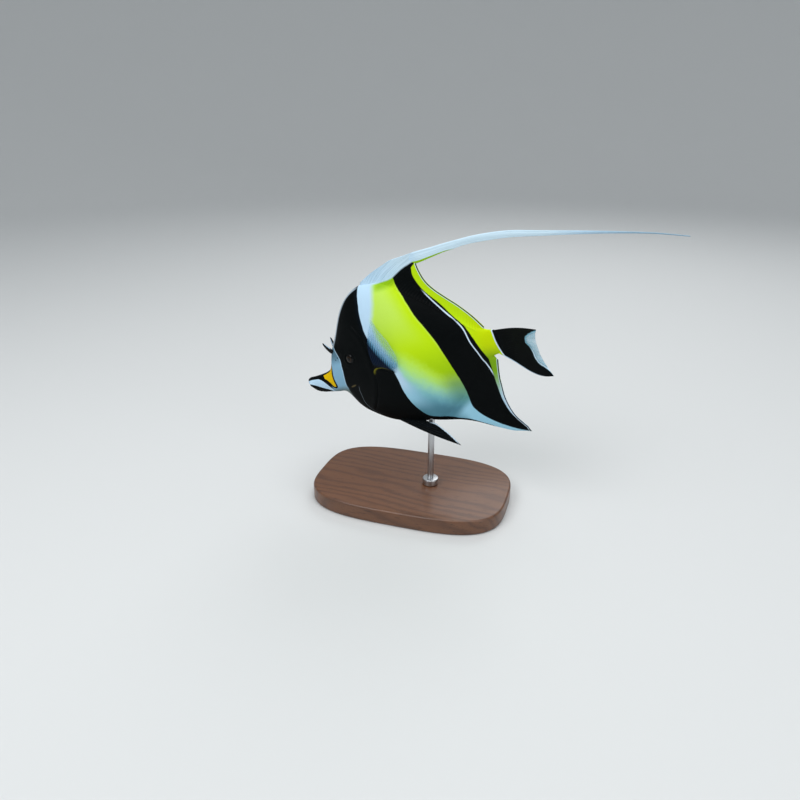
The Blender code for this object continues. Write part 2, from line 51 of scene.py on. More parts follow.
fishShape = {
    "crest": 0.8,  # half the width of the ridge along back and keel
    "tipRounding": 0.8,  # length over which the lips close
    "tailRounding": 1.4,  # length over which the tail root closes under the fin
    "skinEnd": 159,
    "back": [
        (0, -0.9), (0.8, 0.4), (2.4, 1.2), (7, 1.3), (13, 1.8), (18.3, 2.8), (22.4, 5), (24.4, 8.4),
        (26.4, 13.4), (28.4, 17.9), (31.2, 22.4), (36.3, 30.2), (41.1, 38.6), (45.6, 45.4), (52.5, 52.6),
        (60.9, 57.6), (68, 59.2), (76, 58.7), (85, 56), (94, 51), (103, 44.6), (112, 37.4), (121, 29.6),
        (130, 21.8), (138, 15.4), (145, 11), (150, 9), (155, 8.2), (159, 7.4),
    ],
    "keel": [
        (0, -3.2), (0.8, -4.4), (2.4, -6.9), (5, -9.7), (10, -11.8), (17, -13), (23, -14), (28.5, -15),
        (31, -17.4), (33.2, -21.2), (36.3, -27.2), (40, -31.8), (45, -36), (51, -40.2), (57.5, -43.9),
        (64, -46.4), (73, -48.8), (84, -50.4), (93, -51.2), (100, -49.8), (108, -45.6), (116, -39.2),
        (124, -31.6), (132, -23.4), (139, -16.4), (145, -11.8), (150, -9.6), (155, -8.4), (159, -7.8),
    ],
    "halfWidth": [
        (0, 0.9), (0.8, 2.1), (2.4, 3.2), (5, 3), (10, 3.7), (20, 4.8), (27, 6.2), (34, 8), (43, 10),
        (54, 12.6), (68, 14), (82, 13.6), (98, 11.4), (116, 8), (132, 5.2), (145, 3.4), (150, 2.7),
        (155, 1.8), (157, 1.15), (159, 0.5),
    ],
}
fishPose = {  # distances back from the snout; the bend is towards the fish's left
    "bendStart": 81, "bendEnd": 155, "bendDegrees": 20, "bendGrowth": 1.5,
    "tailFinBendLength": 18, "tailFinBendDegrees": 18,
    "streamerStart": 113, "streamerBlend": 45, "streamerDegrees": 6,
    "pitchDegrees": 19, "standCentre": 84, "lift": 86,
    "pathStart": -10, "pathEnd": 330, "pathStep": 0.5,
}
millimetre = 0.001
bothSides = ((-1, "left"), (1, "right"))


def smoothCurve(points):  # a monotone cubic through (x, y) points
    x, y = (np.array(column, float) for column in zip(*points))
    step = np.diff(x)
    slope = np.diff(y) / step
    tangent = np.concatenate([[slope[0]], (slope[1:] + slope[:-1]) / 2, [slope[-1]]])
    for k, chord in enumerate(slope):
        flat = chord == 0 or tangent[k] * chord < 0 or tangent[k + 1] * chord < 0
        limit = 0 if flat else 3 * abs(chord)
        tangent[k] = np.clip(tangent[k], -limit, limit)
        tangent[k + 1] = np.clip(tangent[k + 1], -limit, limit)

    def value(at):
        at = np.clip(np.asarray(at, float), x[0], x[-1])
        k = np.clip(np.searchsorted(x, at) - 1, 0, len(step) - 1)
        u = (at - x[k]) / step[k]
        start = (1 + 2 * u) * (1 - u) ** 2 * y[k] + u * (1 - u) ** 2 * step[k] * tangent[k]
        end = u * u * (3 - 2 * u) * y[k + 1] + u * u * (u - 1) * step[k] * tangent[k + 1]
        return start + end

    return value


def curvePair(rows):  # smooth curves of the second and the third column over the first
    return [smoothCurve([(row[0], row[k]) for row in rows]) for k in (1, 2)]


backAt = smoothCurve(fishShape["back"])
keelAt = smoothCurve(fishShape["keel"])
halfWidthAt = smoothCurve(fishShape["halfWidth"])


def bodyHeading(distance):
    pose = fishPose
    along = np.clip((distance - pose["bendStart"]) / (pose["bendEnd"] - pose["bendStart"]), 0, 1)
    fin = np.clip((distance - pose["bendEnd"]) / pose["tailFinBendLength"], 0, 1)
    bend = np.radians(pose["bendDegrees"]) * along ** pose["bendGrowth"]
    return bend + np.radians(pose["tailFinBendDegrees"]) * fin


def streamerHeading(distance):
    root = fishPose["streamerStart"]
    start = bodyHeading(np.array(root))
    after = np.clip((distance - root) / fishPose["streamerBlend"], 0, 1)
    blended = start + (np.radians(fishPose["streamerDegrees"]) - start) * after
    return np.where(distance < root, bodyHeading(distance), blended)


def pathOf(heading):
    step = fishPose["pathStep"]
    distance = np.arange(fishPose["pathStart"], fishPose["pathEnd"], step)
    angle = heading(distance)
    ahead = np.cumsum(np.cos(angle)) * step
    aside = -np.cumsum(np.sin(angle)) * step
    ahead -= np.interp(0, distance, ahead)
    aside -= np.interp(0, distance, aside)
    return distance, ahead, aside, angle


bodyPath = pathOf(bodyHeading)
streamerPath = pathOf(streamerHeading)


def toStand(place, path=bodyPath):  # rows of (s, y, t) in millimetres to metres on the stand
    s, y, t = np.asarray(place, float).T
    distance, ahead, aside, angle = path
    turn = np.interp(s, distance, angle)
    along = np.interp(s, distance, ahead) + y * np.sin(turn)
    across = np.interp(s, distance, aside) + y * np.cos(turn)
    pitch = math.radians(fishPose["pitchDegrees"])
    x = along * math.cos(pitch) - t * math.sin(pitch) - fishPose["standCentre"]
    z = along * math.sin(pitch) + t * math.cos(pitch) + fishPose["lift"]
    return np.stack([x, across, z], axis=1) * millimetre


# Mesh helpers

def deselectAll():
    bpy.ops.object.select_all(action="DESELECT")


def newPiece(name, add, location=(0, 0, 0), **settings):
    deselectAll()
    add(location=location, **settings)
    bpy.context.object.name = name
    return bpy.context.object


def gridPiece(name, columns, rows):  # a grid whose points are then moved; u and v run from 0 to 1
    grid = bpy.ops.mesh.primitive_grid_add
    piece = newPiece(name, grid, x_subdivisions=columns, y_subdivisions=rows, size=1)
    piece.data.name = name
    corner = np.empty(len(piece.data.vertices) * 3)
    piece.data.vertices.foreach_get("co", corner)
    return piece, np.clip(corner[0::3] + 0.5, 0, 1), np.clip(corner[1::3] + 0.5, 0, 1)


def movePoints(piece, places):
    piece.data.vertices.foreach_set("co", np.ascontiguousarray(places, np.float32).ravel())
    piece.data.update()


def keepField(piece, name, values):  # a number, or a vector, kept on every point for the materials
    values = np.asarray(values, np.float32)
    kind, key = ("FLOAT", "value") if values.ndim == 1 else ("FLOAT_VECTOR", "vector")
    layer = piece.data.attributes.new(name, kind, "POINT")
    layer.data.foreach_set(key, values.ravel())


def closeSeams(piece, reach=0.000002, inside=False):  # merges edges within reach, in metres
    deselectAll()
    piece.select_set(True)
    bpy.context.view_layer.objects.active = piece
    bpy.ops.object.mode_set(mode="EDIT")
    bpy.ops.mesh.select_all(action="SELECT")
    bpy.ops.mesh.remove_doubles(threshold=reach)
    bpy.ops.mesh.normals_make_consistent(inside=inside)
    bpy.ops.object.mode_set(mode="OBJECT")
    bpy.ops.object.shade_smooth()


def dress(piece, finish, *nodes):  # rides on the body, stands for its nodes and takes its finish
    piece.data.materials.clear()
    piece.data.materials.append(finish)
    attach(piece, "root")
    if nodes:
        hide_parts(*nodes)
    print("made", piece.name, "with", len(piece.data.polygons), "faces")


def bell(x, width):
    return np.exp(-((x / width) ** 2))


def ramp(x, low, high):
    share = np.clip((x - low) / (high - low), 0, 1)
    return share * share * (3 - 2 * share)


# Markings, as lines on the straight fish

lineStep = 0.8


def throughPoints(points, closed=False):  # a smooth line through given (s, t) points
    points = np.array(points, float)
    if closed:
        points = np.vstack([points, points[:1]])
    run = np.concatenate([[0], np.cumsum(np.hypot(*np.diff(points, axis=0).T))])
    even = np.arange(0, run[-1] + lineStep / 2, lineStep)
    return np.stack([smoothCurve(list(zip(run, points[:, k])))(even) for k in (0, 1)], axis=1)


def lineDistance(line, s, t):  # millimetres from a line, positive on its left-hand side
    spot = np.stack([s, t], axis=1)
    start, leg = line[:-1], np.diff(line, axis=0)
    best = np.full(len(spot), 1e9)
    side = np.zeros(len(spot))
    for a, d in zip(start, leg):
        length = max(float(d @ d), 1e-9)
        off = spot - a
        share = np.clip((off @ d) / length, 0, 1)
        gap = off - share[:, None] * d
        reach = np.einsum("ij,ij->i", gap, gap)
        nearer = reach < best
        best[nearer] = reach[nearer]
        side[nearer] = (d[0] * off[:, 1] - d[1] * off[:, 0])[nearer]
    return np.sqrt(best) * np.where(side < 0, -1, 1)


def shapeDistance(line, s, t):  # millimetres from a closed outline, positive inside
    inside = np.zeros(len(s), bool)
    for (s0, t0), (s1, t1) in zip(line, np.roll(line, -1, axis=0)):
        crosses = (t0 > t) != (t1 > t)
        inside ^= crosses & (s < (s1 - s0) * (t - t0) / (t1 - t0 + 1e-12) + s0)
    return np.abs(lineDistance(np.vstack([line, line[:1]]), s, t)) * np.where(inside, 1, -1)


# Lines from above to below have their positive side behind them; lines from front to rear, above.
markings = {
    "faceRear": [
        (26, 26), (32.2, 21.6), (33.4, 18.4), (35.2, 14.4), (36, 10.6), (35.4, 5.2), (34.6, -1.2),
        (33.4, -8.6), (34, -13), (34.3, -17.6), (35.6, -23.4), (38.6, -29.4), (42, -34), (48, -42),
    ],
    "bandOneRear": [
        (67.4, 66), (66.2, 60), (64.8, 53), (64.2, 46.4), (63.6, 40), (63.7, 33), (64.5, 25), (66.8, 18.8),
        (69.4, 12), (72.4, 4.8), (76, -3), (77.5, -11), (78, -20), (80, -29.6), (83.6, -38.4), (88, -45),
        (95.2, -48.4), (103, -50.4), (109, -52.4), (117, -54.6), (126, -58.5),
    ],
    "bandTwoFront": [
        (92.5, 64), (93, 57), (93.6, 52), (95.8, 46.4), (98.4, 39.5), (102.4, 29.2), (108.4, 18),
        (113.2, 7.5), (116.4, -2.8), (119, -13), (120.9, -24), (121.2, -35), (121.8, -44.4), (124.6, -49.3),
        (129, -53.8), (138.6, -60), (153.4, -65.6), (164.5, -67.1),
    ],
    "bandTwoRear": [
        (113.5, 67), (111.2, 63.6), (108, 60.8), (107.5, 57), (108.6, 51.8), (112, 44.4), (120.8, 33.2),
        (127.5, 23.6), (134.6, 14.8), (139.6, 5.6), (143.4, -4), (145.4, -11), (145.4, -21), (145.7, -33),
        (147, -44.4), (151, -54.2), (156.5, -60), (164.5, -68.2),
    ],
    "whiteLine": [
        (109.8, 47), (111.6, 43.6), (115, 38), (122, 28.3), (129.6, 19), (133.8, 12.6), (136.8, 3.2),
        (140.2, -5.4), (142.2, -13.6), (144.4, -20), (145.6, -26),
    ],
    "sailFoot": [
        (50, 63), (66, 59.6), (76.4, 57.6), (82, 57.2), (88, 57.4), (92.5, 58.2), (97.6, 60.7), (103, 62.9),
        (112.5, 65.3), (125, 66.2), (142, 66.7), (152, 66.9),
    ],
    "paleToYellow": [
        (77.8, 66), (76.6, 58), (75.6, 51.2), (74.4, 44.8), (72.4, 38.4), (70.6, 33), (71, 25), (73.6, 15),
        (77.2, 5), (80.1, -4), (82.2, -14), (84.4, -22), (86.8, -30), (90.5, -38), (95.5, -44), (103, -49),
        (112, -54),
    ],
    "bellyFade": [
        (66, 14), (76, 4), (81.8, -2), (88.6, -11.6), (96.6, -21.4), (105.4, -28.6), (114, -31.6),
        (124, -33),
    ],
    "snoutTop": [
        (-2, -1.6), (1.2, -0.7), (4, -0.5), (7.2, -0.6), (10.4, -0.9), (13.4, -2.6), (16.2, -5.6),
        (19, -9.6),
    ],
    "chinTop": [
        (-2, -2.2), (1.2, -3), (3.6, -3.9), (8.4, -6.2), (13.2, -8.6), (17, -10.8), (21, -14.5),
    ],
    "chestLine": [
        (44.6, -9.6), (43.2, -16), (42.8, -23.6), (45, -31), (49.4, -35.6), (55, -38),
    ],
    "gillEdge": [
        (46, 44), (51, 38), (56.5, 31), (60.2, 22), (62, 8), (61.4, -6), (58, -18), (51.5, -29), (44, -37),
        (38, -42),
    ],
    "lateralLine": [
        (60, 20), (66, 30), (76, 36), (90, 36), (104, 29), (118, 18), (132, 7), (145, 1), (156, 0),
    ],
    "mouthLine": [
        (-4, -2.2), (0, -2.9), (3, -4.2), (5.6, -5.8),
    ],
    "pectoralArc": [
        (60.9, -5.6), (61.3, -2.8), (62.2, -0.4), (64.4, 0.8), (67, 1.1), (69.6, 0.8), (73.2, -0.9),
        (76, -2.8),
    ],
    "tailBase": [
        (152.8, 10), (153.9, 8), (155.2, 0.4), (156.4, -5.4), (157.6, -8.8), (160.2, -12.2), (165, -16.1),
    ],
}
markingLines = {name: throughPoints(points) for name, points in markings.items()}
saddleLine = throughPoints([
    (25, 8.8), (21.8, 5.4), (18.6, 3.4), (14.6, 1.4), (15.4, -1.1), (17.4, -2.7), (20, -5.8),
    (21.8, -8.8), (23.1, -9.6), (24.1, -8), (23.8, -3), (24, 2), (24.8, 6),
], closed=True)


def keepMarkings(piece, s, t):  # how far every point is from every line, for the paint
    for name, line in markingLines.items():
        keepField(piece, name, lineDistance(line, s, t))
    keepField(piece, "saddle", shapeDistance(saddleLine, s, t))
    keepField(piece, "underBack", backAt(s) - t)
    keepField(piece, "overKeel", t - keelAt(s))


def keepDistance(piece, name, line, centre, signed=True):
    distance = lineDistance(line, centre[:, 0], centre[:, 2])
    keepField(piece, name, distance if signed else np.abs(distance))


# Material helpers

def nodeIn(tree, kind, settings=None, inputs=None, output=0):  # makes, sets and feeds any node
    node = tree.nodes.new(kind)
    for name, value in (settings or {}).items():
        if name == "stops":
            while len(node.color_ramp.elements) < len(value):
                node.color_ramp.elements.new(0.5)
            for element, (place, colour) in zip(node.color_ramp.elements, value):
                element.position = place
                element.color = colour
        else:
            setattr(node, name, value)
    for name, value in (inputs or {}).items():
        if isinstance(value, Socket):
            tree.links.new(value.link, node.inputs[name])
        else:
            node.inputs[name].default_value = value
    return Socket(tree, node.outputs[output])


def mathNode(operation, turned=False):  # an operator of Socket; turned swaps its two sides
    def made(one, other=0):
        first, second = (other, one) if turned else (one, other)
        return nodeIn(one.tree, "ShaderNodeMath", {"operation": operation}, {0: first, 1: second})

    return made


class Socket:  # a value in the node tree, so that sums read as sums
    def __init__(self, tree, link):
        self.tree = tree
        self.link = link

    __add__, __radd__ = mathNode("ADD"), mathNode("ADD", turned=True)
    __sub__, __rsub__ = mathNode("SUBTRACT"), mathNode("SUBTRACT", turned=True)
    __mul__, __rmul__ = mathNode("MULTIPLY"), mathNode("MULTIPLY", turned=True)
    __truediv__, __rtruediv__ = mathNode("DIVIDE"), mathNode("DIVIDE", turned=True)
    __pow__, __abs__ = mathNode("POWER"), mathNode("ABSOLUTE")
    least, most, sine = mathNode("MINIMUM"), mathNode("MAXIMUM"), mathNode("SINE")

    def __neg__(self):
        return self * -1

    def step(self, low, high):  # 0 below low, 1 above high, smooth between
        settings = {"interpolation_type": "SMOOTHSTEP"}
        return nodeIn(self.tree, "ShaderNodeMapRange", settings, {0: self, 1: low, 2: high, 3: 0, 4: 1})

    def near(self, width, soft):  # 1 within width of nought, softened by soft on either side
        return (width - abs(self)).step(-soft, soft)


finishBuild = {
    "skinGloss": 0.06,  # specular level of skin and fins, which are seen wet in water
    "forkBlend": 0.15,  # share of a ray over which it forks
}


class Finish:  # one material and the few ways its nodes are made
    def __init__(self, name):
        self.material = bpy.data.materials.new(name)
        self.material.use_nodes = True
        self.tree = self.material.node_tree
        self.shader = self.tree.nodes["Principled BSDF"]

    def node(self, kind, settings=None, inputs=None, output=0):
        return nodeIn(self.tree, kind, settings, inputs, output)

    def field(self, name):  # a number kept on the points
        return self.node("ShaderNodeAttribute", {"attribute_name": name}, output="Fac")

    def vector(self, name):  # a vector kept on the points, whole and then in its three parts
        whole = self.node("ShaderNodeAttribute", {"attribute_name": name}, output="Vector")
        return (whole, *self.parts(whole))

    def parts(self, vector):
        ends = self.node("ShaderNodeSeparateXYZ", {}, {0: vector}).link.node.outputs
        return [Socket(self.tree, end) for end in ends]

    def noise(self, place, scale, detail):
        inputs = {"Vector": place, "Scale": scale, "Detail": detail, "Roughness": 0.5}
        return self.node("ShaderNodeTexNoise", {}, inputs, "Fac")

    def stretched(self, place, scale):
        return self.node("ShaderNodeMapping", {}, {"Vector": place, "Scale": scale})

    def streaks(self, place, scale, detail=4):
        return self.noise(self.stretched(place, scale), 1, detail)

    def laid(self, base, *coats):  # colours, by name or mixed; each coat covers the last by its share
        paint = coatColours.get(base, base)
        for share, colour in coats:
            inputs = {0: share, 6: paint, 7: coatColours.get(colour, colour)}
            paint = self.node("ShaderNodeMix", {"data_type": "RGBA"}, inputs, 2)
        return paint

    def rayWave(self, ray, share, fork):  # 1 along each fin ray and -1 between, doubled past the fork
        whole = (ray * (2 * math.pi) + math.pi / 2).sine()
        forked = (ray * (4 * math.pi) - math.pi / 2).sine()
        return whole + (forked - whole) * share.step(fork, fork + finishBuild["forkBlend"])

    def bump(self, height, distance):  # distance in metres
        return self.node("ShaderNodeBump", {}, {"Height": height, "Distance": distance, "Strength": 1})

    def wear(self, **inputs):  # sets the shader's own sockets
        for name, value in inputs.items():
            socket = self.shader.inputs[name.replace("_", " ")]
            if isinstance(value, Socket):
                self.tree.links.new(value.link, socket)
            else:
                socket.default_value = value
        return self.material

    def wearSkin(self, paint, roughness, height, relief, alpha=1):
        return self.wear(
            Base_Color=paint, Roughness=roughness, Normal=self.bump(height, relief), Alpha=alpha,
            Specular_IOR_Level=finishBuild["skinGloss"],
        )


def tone(red, green, blue):  # a colour as a picture shows it, 0 to 255, for the shader
    def linear(value):
        share = value / 255
        return share / 12.92 if share <= 0.04045 else ((share + 0.055) / 1.055) ** 2.4

    return (linear(red), linear(green), linear(blue), 1)


# Coat colours and finishes

coatColours = {name: tone(*shade) for name, shade in {
    "pale": (186, 216, 238), "snow": (206, 230, 244), "grey": (78, 128, 146), "bay": (152, 204, 226),
    "face": (134, 178, 204), "throat": (98, 112, 108), "black": (2, 5, 6), "inkBlue": (3, 12, 22),
    "yellow": (190, 228, 16), "lemon": (190, 227, 104), "lime": (140, 188, 14), "moss": (112, 162, 30),
    "gold": (198, 222, 2), "orange": (222, 182, 4), "white": (204, 224, 240), "clear": (126, 184, 204),
    "earth": (92, 82, 54), "olive": (110, 106, 26), "ridge": (164, 180, 192), "brow": (70, 102, 118),
    "shade": (60, 116, 96), "reef": (84, 136, 154), "finRoot": (6, 21, 41), "finWeb": (56, 126, 172),
    "finRay": (150, 210, 238),
}.items()}
belly = {
    "range": (-20, 17),  # millimetres above the belly's fade line
    # the lowest stops are darkened as painted shade where the belly curves under; higher up the blue turns
    # into the fish's yellow
    "stops": [
        (-18, (74, 122, 138)), (-13, (84, 136, 154)), (-9, (104, 162, 178)), (-5, (126, 188, 194)),
        (-1.6, (149, 208, 190)), (2, (168, 224, 166)), (6, (182, 232, 118)), (10, (188, 232, 78)),
        (17, (190, 228, 16)),
    ],
}


def pectoralGlow(finish, s, t):  # how far the olive arc over the pectoral fin's base shows
    arc = finish.field("pectoralArc")
    rear = s.step(62, 70)
    rim = arc.step(0.3, 0) * (arc * (0.4 + rear * 0.9)).step(-1, -0.1)
    return rim * s.step(77, 68) * t.step(-4.4, -1) * (0.85 - rear * 0.3)


def bellyPaint(finish, rise, s):  # darker towards the keel as painted shade, bluer in front and beside the keel
    low, high = belly["range"]
    stops = [((level - low) / (high - low), tone(*shade)) for level, shade in belly["stops"]]
    paint = finish.node("ShaderNodeValToRGB", {"stops": stops}, {0: (rise - low) * (1 / (high - low))})
    return finish.laid(
        paint,
        (s.step(98, 80) * rise.step(3, -8) * 0.6, "bay"),
        (finish.field("overKeel").step(-1, -9), "bay"),
    )


def flankPaint(finish, s, t, drift, twoFront, sailFoot):  # yellow over the belly, behind a pale strip, with painted shade along the dorsal fin's base and in front of the second band
    rise = finish.field("bellyFade") + drift * 3 + s.step(102, 84) * 3
    front = -twoFront
    yellow = finish.laid(
        "yellow",
        (front.step(1, 12) * t.step(4, 42) * 0.7, "lemon"),
        (t.step(14, -18) * 0.6, "lime"),
        # painted shade where the dorsal fin rises from the back
        ((-sailFoot).step(7, 2) * s.step(74, 82) * 0.9, "lime"),
        (front.step(1.5, 0.4) * t.step(56, 50) * t.step(-10, 10) * 0.35, "lemon"),
    )
    flank = finish.laid(
        bellyPaint(finish, rise, s),
        (rise.step(9, 17), yellow),
        (front.step(20, 4) * t.step(-12, -26) * t.step(-46, -36) * 0.62, "shade"),
    )
    # the pale strip darkens towards the keel as painted shade, like the belly
    strip = finish.laid("pale", (t.step(-12, -28), "bay"), (t.step(-26, -42), "reef"))
    softer = t.step(-8, -24) * 1.6 + 1
    return finish.laid(strip, (((finish.field("paleToYellow") + drift) / softer).step(-1.8, 3.2), flank))


def facePaint(finish, s, t, drift, faceRear):  # face with a painted shadow under the throat, snout, orange saddle and nostrils
    field = finish.field
    pits = [(((s - pitS) ** 2 + (t - pitT) ** 2) ** 0.5, "black") for pitS, pitT in skinBuild["nostrils"]]
    snout = finish.laid(
        "pale",
        ((field("snoutTop") + drift * 0.15).step(-0.15, 0.25), "black"),
        ((field("chinTop") + drift * 0.15).step(0.2, -0.2) * s.step(21.5, 19.5), "black"),
        (field("mouthLine").near(0.2, 0.1) * s.step(6.6, 5.8) * 0.9, "black"),
    )
    saddle = field("saddle")
    return finish.laid(
        "face",
        # painted shadow under the throat, where the lower face turns under
        ((t + 3).step(-5, -12), "throat"),
        (t.step(7, 15) * 0.8, "brow"),
        (faceRear.step(-0.9, -0.4) * t.step(-13, -7) * 0.7, "pale"),
        *[(away.step(0.62, 0.3) * 0.8, colour) for away, colour in pits],
        ((s - t * 0.1).step(22, 20), snout),
        (saddle.step(-1.05, -0.75), "black"),
        (saddle.step(0.2, 0.55), "orange"),
        (field("underBack").step(1.1, 0.6) * s.step(27, 24.5), "black"),
    )


def coatPaint(finish):  # the colour shared by skin, dorsal fin and anal fin; distances in millimetres
    field = finish.field
    plan, s, y, t = finish.vector("plan")
    drift = (finish.noise(plan, 0.35, 4) - 0.5) * 1.1
    faceRear = field("faceRear") + drift * 0.4
    oneRear = field("bandOneRear") + drift * 0.4
    twoFront = field("bandTwoFront") + drift * 0.5
    twoRear = field("bandTwoRear") + drift * 0.3
    sailFoot = field("sailFoot")
    tailBase = field("tailBase")
    rear = finish.laid(  # golden tail root with painted shade along its lower side, yellow fin margins that pale below
        "yellow",
        (s.step(132, 150) * (t + 14).step(-2, 6), "gold"),
        # painted shade on the lower side of the tail root
        (t.step(1, -15) * s.step(132, 142) * 0.9, "moss"),
        (t.step(-20, -44), "pale"),
    )
    lineEnds = t.step(46.5, 40) * t.step(-25.5, -20)
    whiteLine = field("whiteLine").near(0.34 + 0.12 * lineEnds, 0.15) * lineEnds
    sailShare = (sailFoot + drift * 0.4).step(-0.7, 0.7)
    inFrontOfTwo = twoRear.step(1, -1).most(sailFoot.step(0.3, 1.2))
    sail = finish.laid("pale", (s.step(78, 108) * 0.9, "snow"))
    ink = finish.laid("black", (oneRear.step(-4, -0.4) * t.step(-10, 10) * 0.8, "inkBlue"))
    chestEnds = t.step(-38.5, -33) * t.step(-9.5, -13)
    chestLine = (0.15 - abs(field("chestLine"))).step(-0.2, 0.12) * chestEnds
    ridgeWidth = 0.9 + s.step(56, 40) * 1.3
    ridge = (field("underBack") / ridgeWidth).step(1.8, 1) * s.step(31, 33) * s.step(67, 61)
    fleckS = s - 39.8
    fleck = (1 - ((fleckS / 3.2) ** 2 + ((t + 10.1 - fleckS * 0.25) / 0.9) ** 2)).step(0, 0.9)
    paint = finish.laid(
        flankPaint(finish, s, t, drift, twoFront, sailFoot),
        (twoFront.step(-0.3, 0.3), "black"),
        (twoRear.step(-0.3, 0.3), rear),
        (whiteLine, "white"),
        (tailBase.step(-0.1, 0.1), "black"),
        (tailBase.near(0.45, 0.15), "white"),
        (sailShare * inFrontOfTwo, sail),
        (oneRear.step(0.25, -0.25), ink),
        (chestLine * 0.3, "ridge"),
        (ridge * 0.95, "ridge"),
        (fleck * 0.8, "earth"),
        (pectoralGlow(finish, s, t), "olive"),
        (faceRear.step(0.25, -0.25), facePaint(finish, s, t, drift, faceRear)),
        (finish.noise(plan, 2.2, 3) * 0.08, "black"),
    )
    return paint, plan


def skinFinish():
    finish = Finish("fishSkin")
    field = finish.field
    paint, plan = coatPaint(finish)
    scales = finish.node(
        "ShaderNodeTexVoronoi", {"feature": "F1"},
        {"Vector": finish.stretched(plan, (2.4, 1.6, 2)), "Scale": 1, "Randomness": 0.7}, "Distance",
    )
    gill = 1 - (abs(field("gillEdge") - 0.35) / 0.55).least(1)
    gillEnds = field("overKeel").step(3, 9) * field("underBack").step(14, 24)
    pores = 1 - (abs(field("lateralLine")) / 0.4).least(1)
    soft = finish.noise(plan, 0.22, 4)
    height = (1 - scales) * 0.5 + soft * 1.2 - pores * 0.4 - gill * gillEnds * 2.2
    return finish.wearSkin(paint, 0.40 + scales * 0.14, height, 0.00008)


def medianFinish(name, fork):  # the skin's paint, and a pale and a dark line along the rear edge
    finish = Finish(name)
    paint, plan = coatPaint(finish)
    place, ray, share, rest = finish.vector("rayPlace")
    rear = finish.field("rearEdge")
    streak = finish.streaks(place, (2.6, 0.8, 0))
    sail = (finish.field("sailFoot") - 1).step(-1, 1)
    paint = finish.laid(
        paint,
        (sail * streak.step(0.44, 0.66) * 0.26, "grey"),
        ((rear - 1.05).near(0.25, 0.12) * 0.85, "white"),
        ((rear - 0.5).near(0.30, 0.1), "black"),
    )
    alpha = 1 - rear.step(0.24, 0.12) * 0.55
    height = finish.rayWave(ray, share, fork) * 0.5 + finish.streaks(place, (7, 2, 0), 3) * 0.6
    return finish.wearSkin(paint, 0.44, height, 0.00007, alpha)


# Skin: one closed surface over snout, jaw, head, trunk and tail root

skinBuild = {
    "stations": [(0, 8, 44), (8, 26, 40), (26, 62, 92), (62, 159, 112)],  # from, to, sections
    "around": 336,
    "eye": (44.6, 11), "eyeRadius": 4.4, "eyeDepth": 3.2, "eyeSink": 2.3,
    "nostrils": [(31.6, 11.6), (33.8, 13)], "pectoralRoot": (67.6, -1.6),
}


def sharpnessAt(s):  # how lens-like the section is: the rear runs out into the fins
    return 1 + 0.3 * np.minimum(1, np.asarray(s) / 45) + 0.7 * ramp(s, 76, 108) * ramp(s, 150, 132)


def flankAt(s, t):  # half width of the straight body at a place on its side
    top, bottom = backAt(s), keelAt(s)
    level = np.clip((t - (top + bottom) / 2) / ((top - bottom) / 2), -1, 1)
    crest = fishShape["crest"]
    return crest + (halfWidthAt(s) - crest) * np.sqrt(1 - level * level) ** sharpnessAt(s)


def skinPlace(s, q):  # q goes round from the keel up the left side (0 to 0.5) and down the right
    side = np.where(q <= 0.5, -1, 1)
    rise = np.clip(1 - np.abs(2 * q - 1), 0, 1)
    angle = 0.4 * math.pi * (rise - 0.5) + 0.6 * np.arcsin(np.clip(2 * rise - 1, -1, 1))
    top, bottom = backAt(s), keelAt(s)
    width = halfWidthAt(s)
    crest = np.minimum(fishShape["crest"], width * 0.4)
    flat = np.maximum(np.cos(angle), 0)
    y = (width - crest) * flat ** sharpnessAt(s) + crest * np.minimum(1, flat / 0.18) ** 0.5
    reach = (top - bottom) / 2
    tip = np.clip(s / fishShape["tipRounding"], 0, 1)
    close = np.sqrt(np.clip(1 - (1 - tip) ** 2, 0, 1))
    left = np.clip((fishShape["skinEnd"] - s) / fishShape["tailRounding"], 0, 1)
    close = close * np.sqrt(np.clip(1 - (1 - left) ** 2, 0, 1))
    t = (top + bottom) / 2 + reach * np.sin(angle) * close
    return np.stack([s, side * y * close, t], axis=1)


def outwardFrom(place, a, b, da, db):  # unit normals of a surface given by place(a, b)
    alongA = place(a + da, b) - place(a - da, b)
    alongB = place(a, b + db) - place(a, b - db)
    normal = np.cross(alongA, alongB)
    return normal / np.maximum(np.linalg.norm(normal, axis=1), 1e-9)[:, None]


def skinRelief(place):  # how far the skin stands off the plain body, in millimetres
    s, y, t = place.T
    eyeS, eyeT = skinBuild["eye"]
    eyeY = float(flankAt(eyeS, eyeT))
    fromEye = np.sqrt((s - eyeS) ** 2 + (t - eyeT) ** 2 + (np.abs(y) - eyeY) ** 2)
    socket = 0.4 * bell(fromEye - 4.2, 0.8) - 0.3 * bell(fromEye - 3.2, 0.5) + 0.2 * bell(fromEye - 6.4, 1.3)
    gill = lineDistance(markingLines["gillEdge"], s, t)
    gillEnds = ramp(t - keelAt(s), 3, 9) * ramp(backAt(s) - t, 14, 24)
    cover = (0.32 * bell(gill + 1.8, 2.4) - 0.22 * bell(gill - 0.5, 0.9)) * gillEnds
    mouth = np.abs(lineDistance(markingLines["mouthLine"], s, t))
    lips = 0.3 * bell(mouth - 0.95, 0.6) * ramp(s, 7.5, 3) - 0.45 * bell(mouth, 0.28) * ramp(s, 7, 5)
    pits = 0
    for pitS, pitT in skinBuild["nostrils"]:
        fromPit = np.hypot(s - pitS, t - pitT)
        pits = pits - 0.55 * bell(fromPit, 0.5) + 0.12 * bell(fromPit - 1, 0.4)
    rootS, rootT = skinBuild["pectoralRoot"]
    root = np.hypot((s - rootS) * 0.42, (t - rootT) + (s - rootS) * 0.45)
    lobe = 0.7 * bell(root, 2.1)
    cheek = 0.35 * bell(np.hypot(s - 46, (t + 6) * 0.8), 7)
    brow = 0.3 * bell(np.hypot(s - 38, t - 16), 3)
    return socket + cover + lips + pits + lobe + cheek + brow


